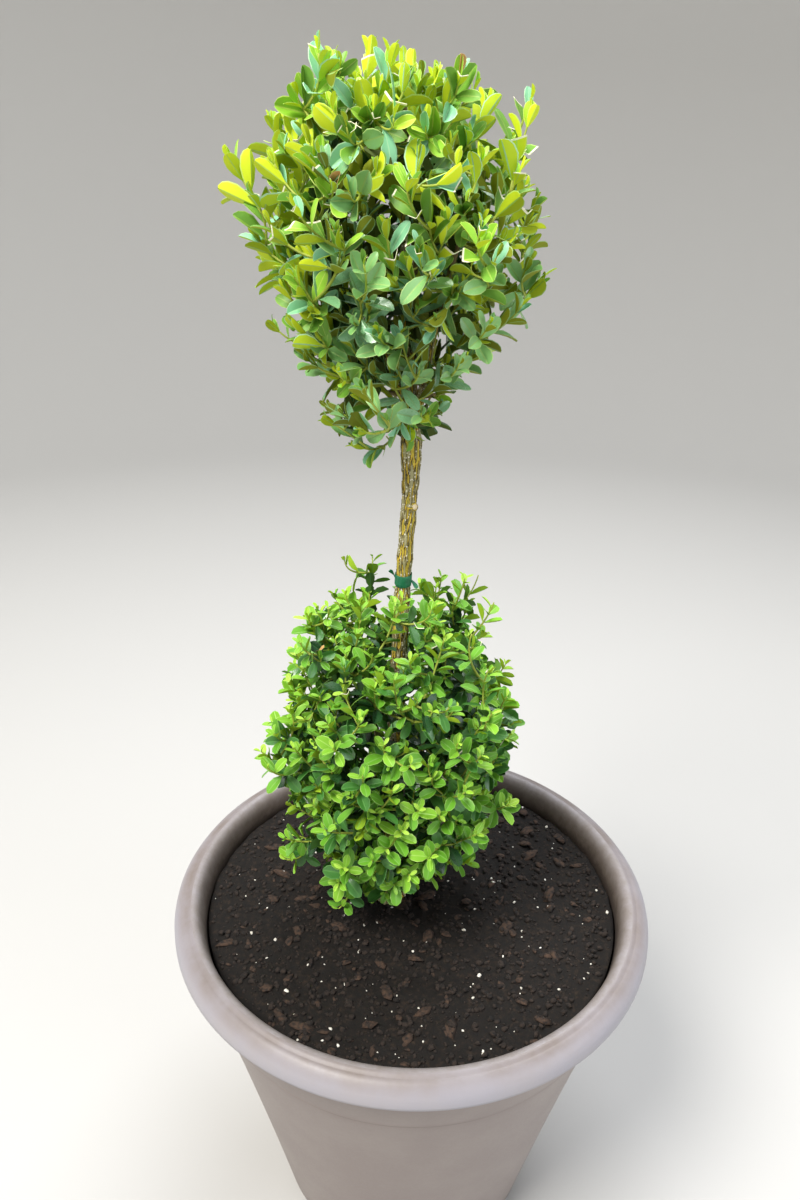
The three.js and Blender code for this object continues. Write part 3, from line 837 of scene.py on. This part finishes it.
# rings of masses: count, turn, distance out, height, and the bough that bears each
crownRings = [
    {"name": "crown_low", "count": 3, "turn": 20, "out": 24, "height": 740, "bough": None},
    {"name": "crown_side", "count": 3, "turn": -40, "out": 42, "height": 838,
     "bough": {"from": 708, "out": 26, "to": 800}},
    {"name": "crown_top", "count": 1, "turn": 0, "out": 0, "height": 912, "bough": None},
]
ballRings = [
    {"name": "ball_low", "count": 3, "turn": -50, "out": 46, "height": 390,
     "bough": {"from": 332, "out": 26, "to": 366}},
    {"name": "ball_high", "count": 3, "turn": 10, "out": 46, "height": 510,
     "bough": {"from": 404, "out": 25, "to": 470}},
]
growth = {
    "boughBase": 3.3,
    "boughTip": 2,
    "boughLift": 0.5,
    "boughStagger": 10,
    "boughSteps": 60,
    "boughSides": 28,
    "straightness": 0.6,
    "stemNodes": (0.6, 1),
    "spaceMargin": 2.1,
    "skinRows": 240,
    "headroom": 1.5,  # how far leaves stay under the top of the solids
    "tipRoom": 0.5,  # room over the highest shoots, as a share of a leaf's length
    "fineTops": (0.84, 1.03),  # shares of that height at which the highest finer shoots end
    "shortest": 12,
    "shootSteps": 10,
    "fineNodes": (4, 7),  # steps of a finer shoot that the next ones may spring from
    "fineStart": 1000,  # index of the first finer shoot
    "layerOffset": 17,
    "mainRadii": (2.0, 1.8, 1.4),
    "mainSides": 8,
    "shootRadius": 0.6,
    "shootTip": 0.5,
    "thickening": 0.009,  # how much thicker a shoot starts for each millimetre of its length
    "shootSides": 6,
    "greenLength": 55,  # how much of a shoot, from its tip, is this year's
    "greenWidth": 1.03,
}


def headRadius(head, z):
    share = (z - head["base"]) / (head["top"] - head["base"])
    if share <= 0 or share >= 1:
        return 0
    return head["radius"] * math.sin(math.pi * share ** head["widest"]) ** head["fullness"]


# Places on a head's outline that share its skin evenly, from the top down, each turned from
# the last by the golden angle
def outlinePlaces(head, count, offset=0):
    levels = np.linspace(head["top"], head["base"], growth["skinRows"] + 1).tolist()
    radii = [headRadius(head, z) for z in levels]
    skinAbove = [0.0]
    for i in range(growth["skinRows"]):
        slope = math.hypot(levels[i] - levels[i + 1], radii[i] - radii[i + 1])
        skinAbove.append(skinAbove[-1] + slope * (radii[i] + radii[i + 1]))
    places = []
    for i in range(count):
        row = int(np.searchsorted(skinAbove, skinAbove[-1] * head["cover"] * (i + 0.5) / count))
        places.append(polar(180 * (1 + math.sqrt(5)) * (i + offset), radii[row], levels[row], head["x"]))
    return places


def ringMasses(head, rings):
    masses = []
    for ring in rings:
        for i in range(ring["count"]):
            azimuth = ring["turn"] + 360 * i / ring["count"]
            centre = polar(azimuth, ring["out"], ring["height"], stemPoint(ring["height"]).x)
            mass = {"name": f"{ring['name']}_{i + 1}" if ring["count"] > 1 else ring["name"],
                    "head": head, "azimuth": azimuth, "centre": centre, "bough": None}
            if ring["bough"]:
                mass["bough"] = dict(ring["bough"])
                mass["bough"]["from"] += i * growth["boughStagger"]
            masses.append(mass)
    return masses


def isOwn(mass, masses, point):
    for other in masses:
        if other is mass:
            continue
        way = other["centre"] - mass["centre"]
        middle = mass["centre"] + way * 0.5
        if (point - middle).dot(way.normalized()) >= -growth["spaceMargin"]:
            return False
    return True


def nearestMass(masses, point):
    return min(masses, key=lambda mass: (mass["centre"] - point).length)


# A way that leaves its start steeply and ends along the given direction
def bend(start, end, direction, steps):
    control = end - direction * growth["boughLift"] * (end - start).length
    shares = [i / steps for i in range(steps + 1)]
    return [start * (1 - t) ** 2 + control * 2 * t * (1 - t) + end * t ** 2 for t in shares]


def boughWay(mass, steps):
    start = stemPoint(mass["bough"]["from"])
    end = polar(mass["azimuth"], mass["bough"]["out"], mass["bough"]["to"], stemPoint(mass["bough"]["to"]).x)
    outward = (mass["centre"] - Vector(mass["head"]["source"])).normalized()
    return bend(start, end, outward, steps)


# The height that leaves may reach
highest = cadBox[1][2] / mm - growth["headroom"]


# Places where shoots end: strewn about the outline, and low enough for the leaves at their tips
def shootTips(head, count, drawIn, share=1.0, offset=0):
    heart = Vector((head["x"], 0, head["heart"]))
    ceiling = min(highest, head["top"] + head["beyond"]) - heart.z - head["leafLength"] * growth["tipRoom"]
    tips = []
    for i, place in enumerate(outlinePlaces(head, count, offset)):
        arm = place - heart
        draw = chance(head["seed"] + offset, i, 2)
        limit = ceiling
        if offset:
            stray = 1 + head["fineRagged"] * (draw ** 3 - 0.5)
            limit = ceiling * between(*growth["fineTops"], chance(head["seed"] + offset, i, 4))
        else:
            stray = 1 + head["ragged"] * (draw ** 2 - 0.5)
        arm = arm.normalized() * (arm.length * stray * share - drawIn)
        tips.append(heart + arm * limit / max(arm.z, limit))
    return tips


# The place on a mass that a new shoot springs from: near, and behind its tip
def springFrom(head, nodes, tip):
    outward = (tip - Vector(head["source"])).normalized()

    def cost(node):
        way = tip - node
        return way.length * (1 + growth["straightness"] * (1 - way.normalized().dot(outward)))

    return min(nodes, key=cost), outward


def growMain(mass, masses):
    head, centre = mass["head"], mass["centre"]
    start = boughWay(mass, 3)[-1] if mass["bough"] else stemPoint(min(centre.z, tipHeight))
    mass["stem"] = [start, centre]
    mass["nodes"] = [start.lerp(centre, share) for share in growth["stemNodes"]]
    mass["shoots"] = []
    tips = shootTips(head, head["mainShoots"], head["mainDrawIn"])
    tips = [tip for tip in tips if isOwn(mass, masses, tip)]
    for tip in sorted(tips, key=lambda tip: (tip - start).length):
        node, outward = springFrom(head, mass["nodes"], tip)
        middle = bend(node, tip, outward, 2)[1]
        if isOwn(mass, masses, middle):
            mass["nodes"].append(middle)
            way = bend(node, tip, outward, growth["shootSteps"])
            mass["shoots"].append({"way": way, "layer": 0, "index": len(mass["shoots"])})


def growFine(head, masses):
    index = growth["fineStart"]
    for layer, (count, share, rank, least, greatest) in enumerate(head["layers"], 1):
        tips = shootTips(head, count, head["drawIn"], share, growth["layerOffset"] * layer)
        tips = [tip for tip in tips if least < tip.z < greatest]
        for tip in sorted(tips, key=lambda tip: (tip - Vector(head["source"])).length):
            mass = nearestMass(masses, tip)
            node, outward = springFrom(head, mass["nodes"], tip)
            index += 1
            if (tip - node).length < growth["shortest"]:
                continue
            way = bend(node, tip, outward, growth["shootSteps"])
            mass["nodes"] += [way[step] for step in growth["fineNodes"]]
            mass["shoots"].append({"way": way, "layer": rank, "index": index})


plantHeads = [(crown, ringMasses(crown, crownRings)), (ball, ringMasses(ball, ballRings))]
for head, masses in plantHeads:
    for mass in masses:
        growMain(mass, masses)
    growFine(head, masses)
    print(head["name"], "shoots", sum(len(mass["shoots"]) for mass in masses))


# Boughs and twigs

def makeBoughs():
    steps = growth["boughSteps"]
    radii = [between(growth["boughBase"], growth["boughTip"], i / steps) for i in range(steps + 1)]
    for head, masses in plantHeads:
        borne = [mass for mass in masses if mass["bough"]]
        limbs = mergeParts([barkTube(boughWay(mass, steps), radii, growth["boughSides"]) for mass in borne])
        makeBarkPiece(f"{head['name']}_bough_bark", limbs, [f"{mass['name']}_bough" for mass in borne])


def plainTube(centres, radii, sides):
    return tube(centres, [radius for radius in radii for _ in range(sides)], sides)


# Boxwood shoots: this year's are smooth and yellow-green, older ones dull brown
def shootMaterial(name, baseHex, deepHex, roughness):
    streak = {"size": 3, "detail": 3, "depth": 0.15}
    return grainyMaterial(name, baseHex, streak, [(0, deepHex), (1, baseHex)],
                          (roughness, roughness + 0.2), {"IOR": 1.45})


def makeTwigs():
    steps, sides = growth["shootSteps"], growth["shootSides"]
    for head, masses in plantHeads:
        youngParts, olderParts = [], []
        for mass in masses:
            start, end = mass["stem"]
            olderParts.append(plainTube([start, start.lerp(end, 0.5), end], growth["mainRadii"],
                                        growth["mainSides"]))
            for shoot in mass["shoots"]:
                way = shoot["way"]
                length = sum((b - a).length for a, b in zip(way, way[1:]))
                base = growth["shootRadius"] + growth["thickening"] * length
                radii = [between(base, growth["shootTip"], i / steps) for i in range(steps + 1)]
                greenFrom = steps - max(2, int(steps * min(1, growth["greenLength"] / length)))
                olderParts.append(plainTube(way[:greenFrom + 2], radii[:greenFrom + 2], sides))
                greenRadii = [radius * growth["greenWidth"] for radius in radii[greenFrom:]]
                youngParts.append(plainTube(way[greenFrom:], greenRadii, sides))
        young = shootMaterial(f"{head['name']}_young_boxwood_shoot", *head["shootColours"], 0.45)
        older = shootMaterial(f"{head['name']}_older_boxwood_twig", *head["twigColours"], 0.7)
        names = [mass["name"] for mass in masses]
        makePiece(f"{head['name']}_young_shoots", *mergeParts(youngParts), [young], "foliage", names)
        makePiece(f"{head['name']}_older_twigs", *mergeParts(olderParts), [older], "foliage", names)


makeBoughs()
makeTwigs()
print("boughs and twigs grown")


# Leaves. A leaf is a closed blade: rings of points run round its upper and lower face from
# the stalk to the tip, and each strip between them has its own finish

leafForm = {
    "widest": 0.56,
    "fallPower": 2.5,
    "risePower": 1.15,
    "stalk": 0.05,
    "tip": 0.16,
    "notch": 0.018,
    "thickness": 0.016,
    "slant": 0.22,  # how far a clipped edge leans
    "margin": 0.9,  # where the pale margin starts, as a share of the half width
    "rib": 0.085,
}
creaseAngle = 16  # faces that meet at more than this show an edge
upperSlot, marginSlot, ribSlot, underSlot, cutSlot = range(5)
margin, rib = leafForm["margin"], leafForm["rib"]
# points of a ring as (share of the half width, level), the upper face first, and the slot
# of the strip that starts at each
fineRing = [(-1, 0), (-margin, 1), (-rib, 0.6), (rib, 0.6), (margin, 1), (1, 0), (margin, -1), (rib, -1.6),
            (-rib, -1.6), (-margin, -1)]
fineSlots = [marginSlot, upperSlot, ribSlot, upperSlot, marginSlot, marginSlot, underSlot, ribSlot, underSlot,
             marginSlot]
trimRing = [(-1, 0), (-margin, 1), (-rib, 0.6), (rib, 0.6), (margin, 1), (1, 0), (rib, -1.6), (-rib, -1.6)]
trimSlots = [marginSlot, upperSlot, ribSlot, upperSlot, marginSlot, underSlot, ribSlot, underSlot]
plainRing = [(-1, 0), (0, 1), (1, 0), (0, -1)]
plainSlots = [upperSlot, upperSlot, underSlot, underSlot]
# rows of rings along the leaf, as shares of its length; a clipped leaf ends early
leafKinds = {
    "fine": ((0, 0.1, 0.32, 0.58, 0.8, 0.93, 1), fineRing, fineSlots),
    "trim": ((0, 0.12, 0.36, 0.64, 0.88, 1), trimRing, trimSlots),
    "plain": ((0, 0.14, 0.45, 0.78, 1), plainRing, plainSlots),
    "clipped": ((0, 0.1, 0.28, 0.48, 0.6, 0.65), fineRing, fineSlots),
}
# five curves, each as how much a leaf is cupped across, arched along and folded at its rib
leafCurves = [(0.1, 0.06, 0.28), (-0.15, 0.2, 0.26), (-0.3, 0.28, 0.18), (0.2, -0.08, 0.4),
              (-0.1, -0.14, 0.34)]


# Boxwood leaves widen past their middle and end round, with a slight notch
def halfWidth(x):
    widest = leafForm["widest"]
    if x > widest:
        fall = math.sqrt(max(0, 1 - ((x - widest) / (1 - widest)) ** leafForm["fallPower"]))
        return 0.5 * max(fall, leafForm["tip"])
    rise = math.sin(math.pi / 2 * (x / widest) ** leafForm["risePower"])
    return 0.5 * max(rise, leafForm["stalk"])


def leafTemplate(rows, ring, slots, cup, arch, fold, clipped):
    points = []
    for x in rows:
        half = halfWidth(x)
        thickness = leafForm["thickness"] / 2 * min(1, half * 4)
        for share, level in ring:
            side = share * half
            lift = cup * side ** 2 + fold * abs(side) - arch * x ** 2 + level * thickness
            slant = leafForm["slant"] * side if clipped and x > 0.5 else 0
            notch = leafForm["notch"] * (1 - abs(share)) if x == 1 else 0
            points.append((x + slant - notch, side, lift))
    count, strips = len(ring), len(rows) - 1
    faces = wallFaces(len(rows), count, inward=True)
    faceSlots = slots * (strips - 1) + ([cutSlot] * count if clipped else slots)
    for end, slot in ((0, underSlot), (strips * count, cutSlot if clipped else underSlot)):
        for k in range(count // 2 - 1):
            quad = [end + k, end + k + 1, end + count - 2 - k, end + count - 1 - k]
            faces.append(tuple(quad if end == 0 else reversed(quad)))
            faceSlots = faceSlots + [slot]
    return np.array(points), np.array(faces), np.array(faceSlots)


leafTemplates = {kind: [leafTemplate(*form, *curve, kind == "clipped") for curve in leafCurves]
                 for kind, form in leafKinds.items()}

# Finishes from the youngest leaves to the oldest: upper face, lower face, margin, rib. The darker tints that
# inner shoots get stand partly for the shade inside the plant: painted shade.
# The lower faces have the paler yellow-green of boxwood undersides, made lighter still as painted light
# shining through the leaves
tints = {
    "crown": [
        ("lime", "#B2D83E", "#CEE22C", "#D2E474", "#CAE25C"),
        ("fresh", "#92C43A", "#CCDC2A", "#C0D868", "#B0CE54"),
        ("green", "#6EA036", "#9CAE1A", "#9CBC5A", "#8CB04A"),
        # In the crown the moss and deep upper faces are lighter and bluer than the green ones: a painted
        # sheen of the sky on the older waxy leaves
        ("moss", "#7EB268", "#848E1A", "#A0BE74", "#92B668"),
        ("deep", "#78AE7A", "#6A741C", "#94B884", "#84A872"),
        # The shade tint is a dark copy of the leaf finishes for the innermost shoots: painted shade
        ("shade", "#385A2A", "#404E12", "#4A6A36", "#40602E"),
    ],
    "ball": [
        ("lime", "#A2CC44", "#B6D03A", "#BCD874", "#B2D666"),
        ("fresh", "#80B634", "#A0C02E", "#A4CA64", "#96C454"),
        ("green", "#64A02C", "#88AC2A", "#8CB65C", "#78AA4C"),
        ("moss", "#3C742C", "#5C862A", "#60944E", "#548842"),
        ("deep", "#204824", "#345620", "#42703E", "#365E34"),
    ],
}
# the bluish tint stands for the sky's reflection on waxy upper faces: painted reflection
skySheenTint = ("bluish", "#82C294", "#BCD42E", "#B4DCB0", "#9CCCA0")
skySheenBefore = 3  # only leaves younger than this get the painted sky reflection
driedTint = ("dried", "#C79F63", "#B98E55", "#DDBE88", "#A67C48")
# roughness, specular level and coat of the upper face: older leaves are waxier
leafGloss = {"lime": (0.5, 0.3, 0.02), "fresh": (0.47, 0.34, 0.04), "green": (0.42, 0.42, 0.08),
             "moss": (0.3, 0.7, 0.42), "deep": (0.28, 0.75, 0.5), "shade": (0.4, 0.5, 0.1),
             "bluish": (0.4, 0.5, 0.12), "dried": (0.7, 0.3, 0)}
cutHex = "#F4EFD4"


# The waxy upper face of a boxwood leaf: smooth and softly glossy, with a fine pebbled skin
def leafSkin(name, baseHex, roughness, specular, coat):
    pebble = {"size": 1.6, "detail": 2, "depth": 0.12, "strength": 0.5}
    settings = {"IOR": 1.45, "Specular IOR Level": specular, "Coat Weight": coat, "Coat Roughness": 0.35}
    return grainyMaterial(name, baseHex, pebble, None, (roughness - 0.08, roughness + 0.1), settings)


# Leaf finishes are plain colours dealt out by shoot and by age
def tintMaterials(headName, tint):
    label, upper, under, edge, vein = tint
    return [
        leafSkin(f"{headName}_{label}_waxy_upper_leaf", upper, *leafGloss[label]),
        leafSkin(f"{headName}_{label}_leaf_margin", edge, 0.5, 0.4, 0),
        leafSkin(f"{headName}_{label}_midrib", vein, 0.45, 0.45, 0),
        leafSkin(f"{headName}_{label}_matt_lower_leaf", under, 0.62, 0.25, 0),
        leafSkin(f"{headName}_{label}_clipped_edge", cutHex, 0.7, 0.3, 0),
    ]


leftSide = {"from": 60, "over": 60}  # where the crown's sunny left side starts, and its depth


def heightShare(head, point):
    return clamp((point.z - head["base"]) / (head["top"] - head["base"]))


# How old a shoot looks, from 0 for this year's lime green up to the dark green inside; the extra age of inner
# layers is partly painted shade
def shootAge(head, shoot):
    tip, age = shoot["way"][-1], head["age"]
    sunny = clamp((heightShare(head, tip) - head["sunFrom"]) / (1 - head["sunFrom"]))
    sunny += clamp((-tip.x - leftSide["from"]) / leftSide["over"]) * head["leftSun"]
    draw = chance(head["seed"], shoot["index"], 5) - 0.5
    return age["shade"] - age["sun"] * clamp(sunny) + shoot["layer"] * age["layer"] + draw * age["draw"]


# How leaves sit on their shoot, counting pairs from its tip; turns are in radians
pairing = {
    "firstBack": 0.4,
    "backPower": 1.22,
    "lost": 0.03,  # share of the leaves after the second pair that have dropped
    "vigour": (0.85, 1.15),
    "spreadPairs": 3.5,  # pairs until the leaves are fully spread
    "spreadDraw": 18,
    "sway": 0.4,
    "roll": 0.8,
    "lift": 1.2,  # how far the light comes from above
    "youngest": 0.42,
    "pairGrowth": 0.24,
    "lengths": (0.84, 1.14),
    "widths": (0.88, 1.1),
    "narrow": 0.8,  # how narrow the youngest leaves are
    "widePairs": 2,
}


# The place a distance back from a way's end, with its direction, or nothing past the start
def placeBack(way, left):
    steps = [(b - a).length for a, b in zip(way, way[1:])]
    i = len(steps) - 1
    while i > 0 and left > steps[i]:
        left -= steps[i]
        i -= 1
    if left > steps[i]:
        return None
    along = (way[i + 1] - way[i]).normalized()
    return way[i + 1] - along * left, along


# The way that a leaf points and the way that its upper face looks: it spreads from its
# shoot, sways a little and turns towards the light
def leafPose(head, pair, along, side, outward, draws):
    spread = between(head["tipSpread"], head["spread"], clamp(pair / pairing["spreadPairs"]))
    spread = math.radians(spread + (draws[1] - 0.5) * pairing["spreadDraw"])
    direction = along * math.cos(spread) + side * math.sin(spread)
    face = along * math.sin(spread) - side * math.cos(spread)
    direction = turned(direction, face, (draws[2] - 0.5) * pairing["sway"])
    light = outward + up * pairing["lift"]
    towards = (light - direction * light.dot(direction)).normalized()
    face = (face * (1 - head["lightTurn"]) + towards * head["lightTurn"]).normalized()
    return direction, turned(face, direction, (draws[3] - 0.5) * pairing["roll"])


def leafSize(head, pair, grown, draws):
    size = min(1, pairing["youngest"] + pairing["pairGrowth"] * pair)
    size *= between(*pairing["lengths"], draws[4]) * grown
    width = size * between(*pairing["widths"], draws[5])
    width *= between(pairing["narrow"], 1, clamp(pair / pairing["widePairs"]))
    return head["leafLength"] * size, head["leafWidth"] * width


def leavesOfShoot(head, shoot):
    way, index, seed = shoot["way"], shoot["index"], head["seed"]
    heart = Vector((head["x"], 0, head["heart"]))
    age = shootAge(head, shoot)
    vigour = between(*pairing["vigour"], chance(seed, index, 6))
    grown = between(*head["leafGrowth"], heightShare(head, way[-1]))
    phase = chance(seed, index, 7) * math.pi
    found = []
    for pair in range(head["pairs"]):
        back = pairing["firstBack"] + head["pairSpacing"] * vigour * pair ** pairing["backPower"]
        place = placeBack(way, back)
        if not place:
            break
        root, along = place
        across = turned(perpendicular(along), along, phase + pair * math.pi / 2)
        for hand in (1, -1):
            first = 8 * (20 + pair * 4 + hand)  # each leaf has eight draws of its own
            draws = [chance(seed + 3, index, first + k) for k in range(8)]
            if draws[0] < pairing["lost"] and pair > 1:
                continue
            outward = (root - heart).normalized()
            direction, face = leafPose(head, pair, along, across * hand, outward, draws)
            length, width = leafSize(head, pair, grown, draws)
            tip = root + direction * length
            if not staysIn(head, root, tip):
                continue
            kind = head["outerLeaves"] if pair < head["finePairs"][shoot["layer"]] else "plain"
            isCut = kind != "plain" and pair > 0 and draws[6] < head["clipped"] and tip.z > head["heart"]
            found.append({
                "root": root, "direction": direction, "face": face, "length": length, "width": width,
                "kind": "clipped" if isCut else kind, "curve": int(draws[7] * len(leafCurves)),
                "age": age + head["age"]["pair"] * pair,
            })
    return found


leafRoom = {"stem": 1.5, "soil": 4, "aboveBase": 2, "belowTop": 6}


# A leaf keeps off the stem and the soil and within the head's reach
def staysIn(head, root, tip):
    for point in (tip, (root + tip) / 2):
        axis = stemPoint(clamp(point.z, footHeight, tipHeight))
        offStem = math.hypot(point.x - axis.x, point.y - axis.y)
        if point.z < tipHeight and offStem < stemRadius(max(point.z, footHeight)) + leafRoom["stem"]:
            return False
        if point.z < soil["level"] + leafRoom["soil"]:
            return False
    out = math.hypot(tip.x - head["x"], tip.y)
    height = clamp(tip.z, head["base"] + leafRoom["aboveBase"], head["top"] - leafRoom["belowTop"])
    isUnder = tip.z < min(head["top"] + head["beyond"], highest)
    return isUnder and out < headRadius(head, height) + head["beyond"]


def makeLeafPiece(name, leaves, tint, headName, replaced):
    pointSets, faceSets, slotSets = [], [], []
    start = 0
    for kind, templates in leafTemplates.items():
        for curve, (points, faces, slots) in enumerate(templates):
            chosen = [leaf for leaf in leaves if leaf["kind"] == kind and leaf["curve"] == curve]
            if not chosen:
                continue
            roots, directions, normals = (np.array([leaf[part] for leaf in chosen])
                                          for part in ("root", "direction", "face"))
            lengths, widths = (np.array([[leaf[part]] for leaf in chosen]) for part in ("length", "width"))
            sides = np.cross(normals, directions)
            frames = np.stack([directions * lengths, sides * widths, normals * lengths], axis=1)
            placed = np.einsum("pk,nkc->npc", points, frames) + roots[:, None, :]
            shifts = start + len(points) * np.arange(len(chosen))
            pointSets.append(placed.reshape(-1, 3))
            faceSets.append((faces[None] + shifts[:, None, None]).reshape(-1, 4))
            slotSets.append(np.tile(slots, len(chosen)))
            start += len(points) * len(chosen)
    makePiece(name, np.concatenate(pointSets), np.concatenate(faceSets), tintMaterials(headName, tint),
              "foliage", replaced, np.concatenate(slotSets), creaseAngle)
    print(name, len(leaves), "leaves", sum(len(faces) for faces in faceSets) * 2, "triangles")


def makeLeaves():
    for head, masses in plantHeads:
        leaves = [leaf for mass in masses for shoot in mass["shoots"] for leaf in leavesOfShoot(head, shoot)]
        names = [mass["name"] for mass in masses]
        headTints = tints[head["name"]]
        allTints = (*headTints, skySheenTint, driedTint)
        groups = {tint[0]: [] for tint in allTints}
        for i, leaf in enumerate(leaves):
            draw = chance(head["seed"], i, 9)
            tint = headTints[round(clamp(leaf["age"], 0, len(headTints) - 1))]
            if draw < head["dried"]:
                tint = driedTint
            elif draw > 1 - head["skySheenShare"] and leaf["age"] < skySheenBefore:
                tint = skySheenTint
            groups[tint[0]].append(leaf)
        for tint in allTints:
            if groups[tint[0]]:
                makeLeafPiece(f"{head['name']}_{tint[0]}_leaves", groups[tint[0]], tint, head["name"], names)


makeLeaves()
print("leaves grown")


# Nursery tie: a band of green tape, wrinkled where it was pulled tight and twisted shut

tie = {
    "height": 608,
    "width": 8,
    "thickness": 0.5,
    "turns": 72,
    "overBark": 1.05,  # the band's radius against the stem's, and a gap
    "gap": 0.25,
    "wrinkle": 0.45,
    "tilt": 0.8,
    "tailLength": 8.5,
    "tailWidth": 3.2,
    "tailSteps": 8,
    "tailSwing": 1.2,
    "tailTwist": 0.25,
    "tailSpread": (0.5, 1.1),  # shares of the tail's width at its root and near its end
    "tailEnd": 0.55,  # how much the very end is pinched
    "tails": [(190, 55), (-15, -50)],  # azimuth and slant of each
}
# across the tape: thickness outwards, share of the width upwards
tapeSection = [(0, -0.5), (0.5, -0.56), (1, -0.5), (1.15, -0.2), (0.9, 0), (1.15, 0.25), (1, 0.5),
               (0.5, 0.55), (0, 0.5)]


# Green polyethylene tie tape: thin, a little shiny, creased
def tapeMaterial():
    crease = {"size": 2, "detail": 4, "depth": 0.4}
    return grainyMaterial("green_polyethylene_tape", "#12603F", crease, [(0, "#0B4A33"), (1, "#1B7A50")],
                          (0.3, 0.6), {"IOR": 1.5})


def tieBand():
    turns = tie["turns"]
    points = []
    for k in range(turns):
        angle = 2 * math.pi * k / turns
        for out, share in tapeSection:
            z = tie["height"] + share * tie["width"]
            axis = stemPoint(z)
            fold = noise.noise(Vector((math.cos(angle) * 3, math.sin(angle) * 3, share * 2.5)))
            radius = stemRadius(z) * tie["overBark"] + tie["gap"] + out * tie["thickness"]
            radius += (out > 0) * tie["wrinkle"] * fold
            points.append((axis.x + radius * math.cos(angle), axis.y + radius * math.sin(angle),
                           z + tie["tilt"] * math.sin(angle)))
    faces = wallFaces(turns + 1, len(tapeSection), inward=True)
    return points, [tuple(v % len(points) for v in face) for face in faces]


def tieTail(azimuth, slant):
    steps = tie["tailSteps"]
    start = stemPoint(tie["height"]) + polar(azimuth, stemRadius(tie["height"]), 0)
    out, rise = (tie["tailLength"] * part(math.radians(slant)) for part in (math.cos, math.sin))
    way = [start + polar(azimuth, out * t, rise * t) + Vector((0, tie["tailSwing"] * math.sin(3 * t), 0))
           for t in np.linspace(0, 1, steps + 1).tolist()]
    strip = []
    for i, (centre, along, across) in enumerate(framesAlong(way)):
        wide = tie["tailWidth"] / 2 * between(*tie["tailSpread"], i / steps)
        wide *= tie["tailEnd"] if i == steps else 1
        flat = turned(across, along, tie["tailTwist"] * i)
        thin = along.cross(flat) * tie["thickness"] / 2
        strip += [centre - flat * wide - thin, centre + flat * wide - thin,
                  centre + flat * wide + thin, centre - flat * wide + thin]
    return strip, tubeFaces(steps + 1, 4)


tape = mergeParts([tieBand(), *[tieTail(azimuth, slant) for azimuth, slant in tie["tails"]]])
makePiece("green_tie_tape", *tape, [tapeMaterial()], "nursery_tie", ["stem_tie"], sharpAngle=50)
print("tie made")
